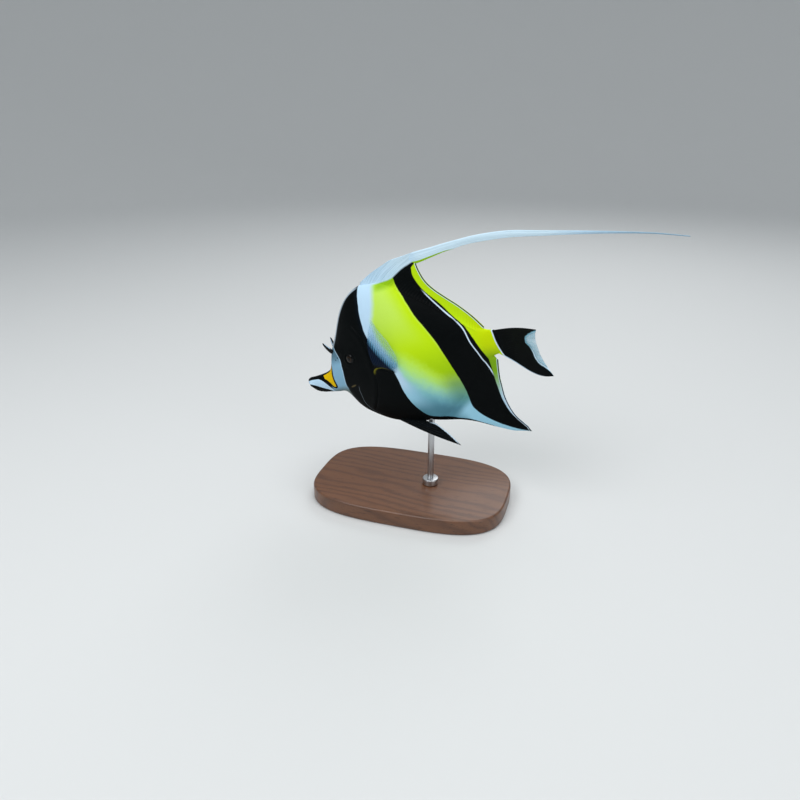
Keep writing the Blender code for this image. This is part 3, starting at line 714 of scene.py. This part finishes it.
def makeSkin():
    counts = [count for start, end, count in skinBuild["stations"]]
    piece, u, q = gridPiece("fishSkin", sum(counts), skinBuild["around"])
    ends = [skinBuild["stations"][0][0]] + [end for start, end, count in skinBuild["stations"]]
    s = np.interp(u * sum(counts), np.concatenate([[0], np.cumsum(counts)]), ends)
    place = skinPlace(s, q)
    normal = outwardFrom(skinPlace, s, q, 0.15, 0.002)
    facing = np.sign((normal[:, 1] * place[:, 1]).mean())
    body = (s > 1.2) & (s < 155)
    lift = np.where(body, skinRelief(place), 0)
    seam = np.minimum(q, 1 - q)
    crown = np.abs(q - 0.5)
    lift = lift * ramp(seam, 0, 0.006) * ramp(crown, 0, 0.006)
    movePoints(piece, toStand(place + normal * facing * lift[:, None]))
    keepField(piece, "plan", place)
    keepMarkings(piece, place[:, 0], place[:, 2])
    closeSeams(piece)
    dress(piece, skinFinish(), "snout", "lower_jaw", "head", "torso", "tail")


makeSkin()

# Fins: thin closed sheets with rays that stand up from both faces

finEdges = {"sides": 0.012, "root": 0.03, "margin": 0.02}  # shares over which the thickness closes


def finPiece(name, build, middle, extra=None):  # extra is thickness beyond that of the build
    piece, u, w = gridPiece(name, build["rays"] * build["perRay"], build["rows"] * 2)
    w = 2 * w - 1
    v = 1 - np.abs(w)
    face = np.where(w < 0, -1, 1)
    normal = outwardFrom(lambda a, b: middle(np.clip(a, 0, 1), np.clip(b, 0, 1)), u, v, 0.004, 0.01)
    if normal[:, 1].mean() < 0:
        normal = -normal
    centre = middle(u, v)
    closing = np.clip(np.minimum(u, 1 - u) / finEdges["sides"], 0, 1)
    closing = closing * np.clip(v / finEdges["root"], 0, 1)
    closing = closing * np.clip((1 - v) / finEdges["margin"], 0, 1)
    thick = build["thick"] + build["rootThick"] * (1 - v) ** build["rootPower"]
    if extra:
        thick = thick + extra(u, v)
    half = thick / 2 + build["rayRise"] * (1 - build["rayFade"] * v) * raySwell(u, v, build)
    place = centre + normal * (face * half * np.sqrt(closing))[:, None]
    movePoints(piece, toStand(place))
    keepField(piece, "plan", place)
    keepField(piece, "rayPlace", np.stack([u * build["rays"], v, np.zeros_like(v)], axis=1))
    return piece, centre


def raySwell(u, v, build):  # 1 on a ray, 0 between; each ray forks past the share fork
    rays, fork = build["rays"], build["fork"]
    whole = (0.5 + 0.5 * np.cos(2 * math.pi * u * rays)) ** 1.5
    forked = (0.5 + 0.5 * np.cos(4 * math.pi * u * rays + math.pi)) ** 1.5
    forking = ramp(v, fork, fork + finishBuild["forkBlend"])
    return (whole + (forked - whole) * forking) * ramp(v, 0.04, 0.24)


medianSheet = {
    "rows": 46, "perRay": 6, "fork": 0.6,
    "sunk": 3,  # how deep the fins are rooted in the body
    "thick": 0.5, "rootThick": 0.75, "rootPower": 1.4, "frontThick": 0.5, "rayRise": 0.15, "rayFade": 0.4,
    "filletReach": 2.2,
}
medianBuild = {
    "dorsal": {
        **medianSheet, "rays": 43, "frontBow": 0.7, "line": backAt, "side": 1, "fillet": 2.1,
        "table": [  # base s, then where that ray ends (s, t)
            (66.5, 67.8, 60.8), (69, 77, 64.8), (72, 86, 67.7), (76, 97.5, 70.3), (81, 112.6, 71.1),
            (86, 112.6, 63.2), (92, 113.2, 57.4), (100, 115.2, 50.6), (110, 119.6, 43.6), (120, 126.4, 36.4),
            (130, 134.4, 28.6), (140, 142.6, 19.4), (148, 148.4, 11.4),
        ],
        "rearFrom": 86.3,
    },
    "anal": {
        **medianSheet, "rays": 38, "frontBow": 0, "line": keelAt, "side": -1, "fillet": 1.3,
        "table": [
            (88.4, 90.6, -51.2), (95, 101, -52.9), (98, 110, -54.2), (102, 121, -57.2), (107, 136, -63),
            (112, 151, -66.9), (117, 163, -67.2), (119, 161.4, -64.4), (121, 158.6, -61.2),
            (126, 153.4, -55.2), (131, 150.2, -47), (136, 149, -38), (141, 149.3, -29),
            (145, 150.4, -20.5), (149, 152, -13),
        ],
        "rearFrom": 117,
    },
}


def makeMedianFin(name, build, node):
    table = build["table"]
    first, last = table[0][0], table[-1][0]
    marginS, marginT = curvePair(table)

    def middle(u, v):
        base = first + (last - first) * u
        bow = np.minimum(1, build["frontBow"] + 1.3 * u)
        backShare = v - 0.45 * (v - v * v) * bow
        riseShare = v + 0.4 * (1 - (1 - v) ** 1.3 - v) * bow
        seat = build["line"](base) - build["side"] * build["sunk"]
        s = base + (marginS(base) - base) * backShare
        t = seat + (marginT(base) - seat) * riseShare
        return np.stack([s, np.zeros_like(s), t], axis=1)

    def extra(u, v):  # a firm front ray, and a fillet into the body
        front = build["frontThick"] * np.clip(1 - u * 6, 0, 1) * (1 - v * 0.4)
        rise = np.abs(middle(u, v)[:, 2] - middle(u, np.zeros_like(v))[:, 2])
        ends = ramp(u, 0, 0.06) * ramp(1 - u, 0, 0.06)
        return front + 2 * build["fillet"] * np.exp(-rise / build["filletReach"]) * ends

    share = (np.linspace(build["rearFrom"], last, 90) - first) / (last - first)
    rearLine = middle(share, np.ones_like(share))[:, [0, 2]]
    piece, centre = finPiece(name, build, middle, extra)
    keepDistance(piece, "rearEdge", rearLine, centre, signed=False)
    keepMarkings(piece, centre[:, 0], centre[:, 2])
    closeSeams(piece)
    dress(piece, medianFinish(name, build["fork"]), node)


makeMedianFin("dorsalSail", medianBuild["dorsal"], "dorsal_fin")
makeMedianFin("analFin", medianBuild["anal"], "anal_fin")

# Tail fin

tailBuild = {
    "rays": 17, "rows": 48, "perRay": 8, "fork": 0.35, "halfHeight": 8, "rootS": 153.2, "rootBow": 1.6,
    "thick": 0.5, "rootThick": 1.5, "rootPower": 3, "sideThick": 0.5, "rayRise": 0.22, "rayFade": 0.6,
    "margin": [
        (0, 193.6, 7.8), (0.1, 191.7, 4.6), (0.3, 190.5, -0.8), (0.5, 191, -6), (0.75, 192.8, -13.4),
        (0.9, 195.6, -18.6), (1, 198.6, -23.4),
    ],
    "curl": (1, 5.5),  # how far the upper and the lower edge bow outwards
    "blackRear": [
        (196.5, 9.4), (193.4, 7.6), (188.6, 6.2), (184.2, 4.4), (181, 1.6), (180.6, -1.2), (183, -3.4),
        (184.7, -7), (186, -12.4), (188.4, -15.6), (193.6, -18.4), (196.6, -20.8), (198.6, -23.6),
        (199.6, -26),
    ],
}


def tailFinish(fork):
    finish = Finish("tailFin")
    field = finish.field
    place, ray, share, rest = finish.vector("rayPlace")
    plan, s, y, t = finish.vector("plan")
    black = field("blackRear") + (finish.noise(plan, 0.5, 4) - 0.5) * 0.8
    streak = finish.streaks(place, (2, 1.6, 0))
    clear = finish.laid("clear", (streak.step(0.4, 0.7), "bay"))
    whiteRim = black.step(0.1, 0.4) * black.step(1.5, 0.9) * t.step(-2, -8)
    base = field("tailBase")
    under = (0.75 - field("underEdge")).step(-0.2, 0.2) * s.step(156, 160) * s.step(192, 178)
    paint = finish.laid(
        "black",
        (black.step(-0.3, 0.6), clear),
        (whiteRim, "white"),
        (base.step(0.1, -0.1), "gold"),
        (base.near(0.45, 0.15) * s.step(167, 160), "white"),
        (under * 0.9, "pale"),
    )
    wave = finish.rayWave(ray, share, fork)
    thin = black.step(0.2, 1.4) * (0.52 - 0.16 * wave) + black.step(2.5, 8) * 0.22
    height = wave * 0.5 + finish.streaks(place, (8, 26, 0), 2) * 0.6
    return finish.wearSkin(paint, 0.42, height, 0.00007, 1 - thin * (1 - whiteRim))


def makeTailFin():
    build = tailBuild
    marginS, marginT = curvePair(build["margin"])

    def middle(u, v):
        share = u * 2 - 1
        t0 = -build["halfHeight"] * share
        upper, lower = build["curl"]
        curl = np.sin(math.pi * v**1.3) * np.where(share > 0, lower, upper) * share
        s0 = build["rootS"] + build["rootBow"] * (1 - share**2)
        s = s0 + (marginS(u) - s0) * v
        return np.stack([s, np.zeros_like(s), t0 + (marginT(u) - t0) * v - curl], axis=1)

    def extra(u, v):
        return np.abs(u * 2 - 1) ** 4 * build["sideThick"] * (1 - v)

    piece, centre = finPiece("tailFin", build, middle, extra)
    keepDistance(piece, "blackRear", throughPoints(build["blackRear"]), centre)
    keepDistance(piece, "tailBase", markingLines["tailBase"], centre)
    underLine = middle(np.ones(60), np.linspace(0, 1, 60))[:, [0, 2]]
    keepDistance(piece, "underEdge", underLine, centre, signed=False)
    closeSeams(piece)
    dress(piece, tailFinish(build["fork"]), "caudal_fin")


makeTailFin()

# Streamer: the long white filament that carries on from the dorsal fin

streamerBuild = {
    "sections": 320, "around": 24, "start": 103, "end": 282.8,
    "sunk": 12,  # length over which it grows out of the dorsal fin
    "outline": [  # s, upper edge, lower edge
        (103, 70.3, 63.6), (110, 70.9, 63.2), (113, 71.1, 63.2), (124, 71.1, 64.4), (138, 71.4, 65.9),
        (150, 71.3, 66.6), (165, 70.5, 65.6), (181, 68.2, 63.6), (200, 63.2, 59.6), (223, 57, 54.7),
        (245, 50.8, 49.4), (265, 44.75, 43.85), (283, 38.15, 37.55),
    ],
    "leastHalf": 0.25, "fullWidth": 0.42, "grooves": 6, "grooveDepth": 0.1,
}


def streamerFinish():
    finish = Finish("streamer")
    place, level, along, above = finish.vector("rayPlace")
    plan, s, y, t = finish.vector("plan")
    streak = finish.streaks(place, (1.5, 0.35, 0))
    strip = (1.7 - (s - fishPose["streamerStart"]) * 0.05 - above).step(-0.2, 0.2) * s.step(144, 136)
    paint = finish.laid(
        "pale",
        (s.step(104, 120) * s.step(232, 200), "snow"),
        (streak.step(0.44, 0.66) * 0.2 + s.step(200, 262) * 0.35, "grey"),
        (strip, "lime"),
    )
    return finish.wearSkin(paint, 0.44, (level * (2 * math.pi)).sine() * 0.5 + streak, 0.00008)


def makeStreamer():
    build = streamerBuild
    upper, lower = curvePair(build["outline"])
    piece, u, q = gridPiece("streamer", build["sections"], build["around"])
    start = build["start"]
    s = start + (build["end"] - start) * u
    turn = 2 * math.pi * q
    high, low = upper(s), lower(s)
    ends = np.sqrt(np.clip(u / 0.008, 0, 1) * np.clip((1 - u) / 0.006, 0, 1))
    reach = np.maximum((high - low) / 2, build["leastHalf"])
    width = build["leastHalf"] + build["fullWidth"] * np.minimum(1, reach / 2)
    width = width * ramp(s, start, start + build["sunk"])
    groove = 1 + build["grooveDepth"] * np.cos(turn * build["grooves"]) * np.minimum(1, reach / 2.5)
    y = width * np.cos(turn) * groove * ends
    t = (high + low) / 2 + reach * np.sin(turn) * ends
    place = np.stack([s, y, t], axis=1)
    movePoints(piece, toStand(place, streamerPath))
    keepField(piece, "plan", place)
    level = np.clip((t - low) / np.maximum(high - low, 0.1), 0, 1)
    along = (s - fishPose["streamerStart"]) / 20
    keepField(piece, "rayPlace", np.stack([level * 7, along, t - low], axis=1))
    closeSeams(piece)
    dress(piece, streamerFinish(), "filament_1", "filament_2", "filament_3")


makeStreamer()

# Pectoral and pelvic fins

pectoralBuild = {
    "rays": 15, "rows": 40, "perRay": 8, "fork": 0.9,
    "root": [(63.6, 0.8), (77.8, -6.4)],
    "margin": [(0, 73.4, 36.2), (0.3, 76.2, 29), (0.6, 79.4, 23), (0.85, 81.6, 18.2), (1, 82.8, 13.6)],
    "frontBow": 4.2, "rearBow": 3,
    "sunk": 1.2, "standOff": 3, "rearStandOff": 1.4, "cup": 2.6,
    "thick": 0.4, "rootThick": 1.7, "rootPower": 4, "rayRise": 0.16, "rayFade": 0.5,
}
pelvicBuild = {
    "rays": 6, "rows": 40, "perRay": 10, "fork": 0.7, "bow": 1.7, "endBow": 1.2, "cup": 0.8,
    "thick": 0.5, "rootThick": 1.2, "rootPower": 3, "frontThick": 0.5, "rayRise": 0.24, "rayFade": 0.5,
    "root": [(58, 1.6, -41.6), (80, 1, -48)],
    "tips": {-1: (109.8, 13.5, -68.8), 1: (104.5, 19, -61.8)},
    "corners": {-1: (92, 6.6, -51.4), 1: (89, 8.6, -50.2)},
}


def pectoralFinish():
    finish = Finish("pectoralFin")
    place, ray, share, rest = finish.vector("rayPlace")
    plan, s, y, t = finish.vector("plan")
    wave = finish.rayWave(ray, share, pectoralBuild["fork"])
    onRay = (wave * 0.5 + 0.5).step(0.25, 0.9)
    streak = finish.streaks(place, (0.9, 0.6, 0), 3)
    rearness = ray / pectoralBuild["rays"]
    outer = (share + rearness * 0.60).step(0.52, 0.74)
    glow = pectoralGlow(finish, s, t)
    web = finish.laid("finRoot", (outer, "finWeb"))
    paint = finish.laid(
        web,
        (onRay * outer * (0.45 + streak * 0.6), "finRay"),
        (share.step(0.14, 0.06), "black"),
        (glow, "olive"),
    )
    rearCorner = rearness.step(0.82, 0.97) * share.step(0.32, 0.10)
    alpha = 1 - outer * (0.58 - onRay * 0.22) - (share + rearness * 0.3).step(0.30, 0.90) * 0.34
    alpha = alpha.most(share.step(0.16, 0.06) * 0.97).most(glow) * (1 - rearCorner * 0.85)
    return finish.wearSkin(paint, 0.38, wave + (share * 240).sine() * 0.12, 0.00006, alpha)


def makePectorals():
    build = pectoralBuild
    marginS, marginT = curvePair(build["margin"])
    finish = pectoralFinish()
    for side, hand in bothSides:

        def middle(u, v):
            (frontS, frontT), (rearS, rearT) = build["root"]
            rootS, rootT = frontS + (rearS - frontS) * u, frontT + (rearT - frontT) * u
            root = np.stack([rootS, flankAt(rootS, rootT) - build["sunk"], rootT], axis=1)
            endS, endT = marginS(u), marginT(u)
            endY = flankAt(endS, endT) + build["standOff"] + build["rearStandOff"] * u
            end = np.stack([endS, endY, endT], axis=1)
            place = root + (end - root) * v[:, None]
            bow = build["rearBow"] * u**2 - build["frontBow"] * (1 - u) ** 2
            place[:, 0] += bow * np.sin(math.pi * v)
            place[:, 1] += build["cup"] * (1 - (1 - v) ** 6) * (1 - 0.5 * v)
            place[:, 1] *= side
            return place

        piece, centre = finPiece(f"pectoralFin_{hand}", build, middle)
        keepDistance(piece, "pectoralArc", markingLines["pectoralArc"], centre)
        closeSeams(piece)
        dress(piece, finish, "pectoral_fin_" + hand)


def pelvicFinish():
    finish = Finish("pelvicFin")
    place, ray, share, rest = finish.vector("rayPlace")
    plan, s, y, t = finish.vector("plan")
    streak = finish.streaks(place, (3, 3, 0))
    rim = (finish.field("rearRim") + (streak - 0.5) * 0.5).step(0.85, 0.5)
    paint = finish.laid(
        "black",
        (streak.step(0.4, 0.7) * 0.5, "inkBlue"),
        (rim * s.step(86, 91) * s.step(109, 106) * 0.9, "white"),
    )
    return finish.wearSkin(paint, 0.44, finish.rayWave(ray, share, pelvicBuild["fork"]) + streak, 0.00008)


def makePelvics():
    build = pelvicBuild
    finish = pelvicFinish()

    def between(start, end, share):
        return np.array(start) + (np.array(end) - np.array(start)) * share[:, None]

    def extra(u, v):
        return build["frontThick"] * np.clip(1 - u * 7, 0, 1)

    for side, hand in bothSides:
        tip, corner = Vector(build["tips"][side]), Vector(build["corners"][side])

        def middle(u, v):
            root = between(build["root"][0], build["root"][1], u)
            end = between(tip, corner, u)
            end[:, 2] += build["endBow"] * np.sin(math.pi * u)
            place = root + (end - root) * v[:, None]
            place[:, 2] -= build["bow"] * np.sin(math.pi * v**1.2) * (1 - u)
            place[:, 1] = (place[:, 1] + build["cup"] * np.sin(math.pi * v)) * side
            return place

        piece, centre = finPiece(f"pelvicFin_{hand}", build, middle, extra)
        share = np.linspace(0, 1, 60)
        rearLine = np.vstack([middle(share, np.ones(60)), middle(np.ones(60), share[::-1])])[:, [0, 2]]
        keepDistance(piece, "rearRim", rearLine, centre, signed=False)
        closeSeams(piece)
        dress(piece, finish, "pelvic_fin_" + hand)


makePectorals()
makePelvics()

# Eyes and horns

def outwardAt(s, t, side):
    step = 0.5
    along = float(flankAt(s + step, t) - flankAt(s - step, t)) / (2 * step)
    up = float(flankAt(s, t + step) - flankAt(s, t - step)) / (2 * step)
    return Vector((-along, side, -up)).normalized()


def eyeFinish():
    finish = Finish("eye")
    disc, x, y, z = finish.vector("disc")
    out = (x * x + y * y) ** 0.5
    streak = finish.streaks(disc, (2.5, 2.5, 2.5))
    paint = finish.laid(
        tone(1, 2, 3),
        (out.step(1.5, 1.6), tone(60, 42, 20)),
        ((out + (streak - 0.5) * 0.4).step(1.66, 1.9), tone(16, 12, 9)),
        (out.step(2.4, 2.9), tone(3, 4, 5)),
    )
    return finish.wear(Base_Color=paint, Roughness=0.08, Specular_IOR_Level=0.2)


def hornFinish():
    finish = Finish("horn")
    place, along, around, rest = finish.vector("horn")
    grain = finish.streaks(place, (2, 6, 1))
    streak = (around - 0.6).near(0.04, 0.02) * along.step(0.25, 0.4) * along.step(0.96, 0.8)
    paint = finish.laid(
        tone(3, 5, 7), (grain.step(0.35, 0.7), tone(18, 20, 21)), (streak, "pale"),
    )
    return finish.wear(
        Base_Color=paint, Roughness=0.4, Normal=finish.bump(grain, 0.00008), Specular_IOR_Level=0.1,
    )


hornBuild = {
    "root": (29.3, 4.6, 19.6), "tip": (26.6, 7.4, 26.6), "sunk": 2.6, "bow": -0.5, "ridges": 5,
    "widths": [(0, 1.6), (0.3, 1.4), (0.55, 1.1), (0.8, 0.75), (0.93, 0.42), (1, 0.02)],
}


def makeEye(side, hand, finish):
    eyeS, eyeT = skinBuild["eye"]
    radius, depth, sink = skinBuild["eyeRadius"], skinBuild["eyeDepth"], skinBuild["eyeSink"]
    sphere = bpy.ops.mesh.primitive_uv_sphere_add
    eye = newPiece("eye_" + hand + "_glass", sphere, segments=64, ring_count=40, radius=1)
    local = np.array([vertex.co for vertex in eye.data.vertices]) * (radius, radius, depth)
    look = outwardAt(eyeS, eyeT, side)
    centre = Vector((eyeS, side * float(flankAt(eyeS, eyeT)), eyeT)) - look * sink
    turn = np.array(look.to_track_quat("Z", "Y").to_matrix())
    movePoints(eye, toStand(local @ turn.T + np.array(centre)))
    keepField(eye, "disc", local)
    bpy.ops.object.shade_smooth()
    dress(eye, finish, "eye_" + hand)


def makeHorn(side, hand, finish):
    root = np.array(hornBuild["root"]) * (1, side, 1)
    tip = np.array(hornBuild["tip"]) * (1, side, 1)
    along = (tip - root) / np.linalg.norm(tip - root)
    start = root - along * hornBuild["sunk"]
    across = np.cross(along, (0, 0, 1))
    across /= np.linalg.norm(across)
    over = np.cross(along, across)
    horn, u, q = gridPiece("horn_" + hand + "_spine", 40, 28)
    width = smoothCurve(hornBuild["widths"])(u) * np.where(u <= 0, 0, 1)
    centre = start + (tip - start) * u[:, None]
    centre = centre + np.array([hornBuild["bow"], 0, 0]) * np.sin(math.pi * u)[:, None]
    turn = 2 * math.pi * q
    ridges = 1 + 0.05 * np.cos(turn * hornBuild["ridges"])
    ring = across * np.cos(turn)[:, None] + over * np.sin(turn)[:, None]
    movePoints(horn, toStand(centre + ring * (width * ridges)[:, None]))
    keepField(horn, "horn", np.stack([u, q, u * 0], axis=1))
    closeSeams(horn)
    dress(horn, finish, "horn_" + hand)


def makeEyesAndHorns():
    eyeSkin, hornSkin = eyeFinish(), hornFinish()
    for side, hand in bothSides:
        makeEye(side, hand, eyeSkin)
        makeHorn(side, hand, hornSkin)


makeEyesAndHorns()

# Stand, in metres: a lacquered walnut base, a brushed steel rod and its collar

standBuild = {
    "length": 0.150, "width": 0.096, "height": 0.012, "bevel": 0.0016, "bevelSteps": 5, "corner": 0.6,
    "points": 192, "edgeDegrees": 30,
    "rod": {"radius": 0.0024, "points": 64, "bevel": 0.0003, "bevelSteps": 3},
    "collar": {"radius": 0.006, "points": 96, "bevel": 0.0006, "bevelSteps": 4},
}


def bevelled(piece, build):
    angle = math.radians(standBuild["edgeDegrees"])
    edge = piece.modifiers.new("edges", "BEVEL")
    edge.width = build["bevel"]
    edge.segments = build["bevelSteps"]
    edge.limit_method = "ANGLE"
    edge.angle_limit = angle
    bpy.context.view_layer.objects.active = piece
    bpy.ops.object.modifier_apply(modifier=edge.name)
    bpy.ops.object.shade_smooth_by_angle(angle=angle)


def woodFinish():
    finish = Finish("walnut")
    place = finish.node("ShaderNodeTexCoord", output="Object")
    x, y, z = finish.parts(place)
    warp = finish.streaks(place, (6, 24, 24))
    across = y + x * 0.04 + (warp - 0.5) * 0.05 + z * 0.4
    rings = (across * 760).sine() * 0.5 + 0.5
    fibres = finish.streaks(place, (55, 2200, 2200), 3)
    pores = finish.streaks(place, (120, 1500, 1500), 2)
    broad = finish.streaks(place, (9, 50, 50), 3)
    paint = finish.laid(
        tone(112, 72, 44),
        (rings ** 2 * 0.5 + broad * 0.35, tone(66, 38, 22)),
        (fibres * 0.45, tone(84, 50, 30)),
        (pores.step(0.58, 0.70) * 0.6, tone(32, 18, 10)),
    )
    normal = finish.bump(pores.step(0.72, 0.56) + fibres * 0.3, 0.00004)
    return finish.wear(
        Base_Color=paint, Roughness=0.40 + pores * 0.14, Normal=normal, Coat_Weight=0.3, Coat_Roughness=0.18,
    )


def steelFinish():
    finish = Finish("brushedSteel")
    place = finish.node("ShaderNodeTexCoord", output="Object")
    lines = finish.streaks(place, (60, 60, 4200), 3)
    paint = finish.laid(tone(172, 174, 178), (lines, tone(206, 208, 210)))
    return finish.wear(
        Base_Color=paint, Metallic=1, Roughness=0.24 + lines * 0.16, Normal=finish.bump(lines, 0.00001),
    )


def makePost(name, box, build, finish, node):  # a round part as tall as its solid
    low, high = box
    post = newPiece(
        name, bpy.ops.mesh.primitive_cylinder_add, (low + high) / 2,
        vertices=build["points"], radius=build["radius"], depth=high.z - low.z,
    )
    bpy.ops.object.transform_apply(location=True, rotation=True, scale=True)
    bevelled(post, build)
    dress(post, finish, node)


def makeStand():
    steel = steelFinish()
    build = standBuild
    base = newPiece(
        "standBase", bpy.ops.mesh.primitive_cylinder_add,
        vertices=build["points"], radius=1, depth=build["height"], end_fill_type="NGON",
    )
    for vertex in base.data.vertices:
        x, y = vertex.co.x, vertex.co.y
        vertex.co.x = math.copysign(abs(x) ** build["corner"], x) * build["length"] / 2
        vertex.co.y = math.copysign(abs(y) ** build["corner"], y) * build["width"] / 2
        vertex.co.z += build["height"] / 2
    bevelled(base, build)
    dress(base, woodFinish(), "stand_base")
    makePost("standRod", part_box("stand_rod"), build["rod"], steel, "stand_rod")
    makePost("standCollar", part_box("stand_collar"), build["collar"], steel, "stand_collar")


makeStand()

# Camera at the photograph's angle, soft studio light and a pale floor

cameraBuild = {
    "azimuth": 18, "elevation": 24, "lens": 31.2, "sensor": 36, "frame": 800, "clipStart": 0.01,
    "aim": (81.3, 0, -3), "aimPixel": (405, 362), "depth": 0.5025,
}


def placed(name, data, place, back):  # puts it into the scene, with its own Z axis along back
    thing = bpy.data.objects.new(name, data)
    thing.location = place
    thing.rotation_euler = back.to_track_quat("Z", "Y").to_euler()
    bpy.context.scene.collection.objects.link(thing)
    return thing


def makeCamera():
    build = cameraBuild
    azimuth, elevation = math.radians(build["azimuth"]), math.radians(build["elevation"])
    level = math.cos(elevation)
    back = Vector((math.sin(azimuth) * level, -math.cos(azimuth) * level, math.sin(elevation)))
    right = (-back).cross(Vector((0, 0, 1))).normalized()
    up = right.cross(-back)
    focal = build["lens"] / build["sensor"] * build["frame"]
    overX, downY = ((pixel - build["frame"] / 2) / focal for pixel in build["aimPixel"])
    ray = -back + right * overX - up * downY
    aim = Vector(toStand([build["aim"]])[0])
    data = bpy.data.cameras.new("camera")
    data.lens = build["lens"]
    data.sensor_width = build["sensor"]
    data.clip_start = build["clipStart"]
    bpy.context.scene.camera = placed("camera", data, aim - ray * build["depth"], back)


studioBuild = {
    "floorRadius": 1.6, "sweepRadius": 1.2, "top": 2.2,
    "worldStrength": 0.66, "lampAim": (0.02, 0, 0.13),
    "lamps": [  # name, place, power, size
        ("key", (-0.45, -0.75, 0.95), 6.2, 0.7),
        ("top", (0.15, -0.05, 1.25), 6, 0.8),
        ("fill", (0.9, -0.6, 0.4), 2.8, 0.8),
        ("behind", (0.1, 0.95, 0.9), 3, 0.7),
    ],
}


def makeLamp(name, place, aim, power, size):
    data = bpy.data.lights.new(name, "AREA")
    data.energy = power
    data.shape = "DISK"
    data.size = size
    placed(name, data, place, Vector(place) - Vector(aim))


def makeStudio():  # a round pale floor that sweeps up into the backdrop on every side
    build = studioBuild
    flat, radius, top = build["floorRadius"], build["sweepRadius"], build["top"]
    bend = radius * math.pi / 2
    sweep, u, v = gridPiece("studioSweep", 96, 60)
    run = v * (flat + bend + top - radius)
    turn = np.clip((run - flat) / radius, 0, math.pi / 2)
    out = np.minimum(run, flat) + radius * np.sin(turn)
    z = radius * (1 - np.cos(turn)) + np.maximum(run - flat - bend, 0)
    around = 2 * math.pi * u
    movePoints(sweep, np.stack([out * np.cos(around), out * np.sin(around), z], axis=1))
    closeSeams(sweep, 0.00002, inside=True)
    finish = Finish("paleFloor")
    sweep.data.materials.append(finish.wear(Base_Color=tone(206, 208, 208), Roughness=0.85))
    world = bpy.data.worlds.new("studio")
    world.use_nodes = True
    sky = world.node_tree.nodes["Background"].inputs
    sky["Color"].default_value = (0.84, 0.88, 0.92, 1)
    sky["Strength"].default_value = build["worldStrength"]
    bpy.context.scene.world = world
    for name, place, power, size in build["lamps"]:
        makeLamp(name, place, build["lampAim"], power, size)
    bpy.context.scene.view_settings.view_transform = "Standard"


makeCamera()
makeStudio()
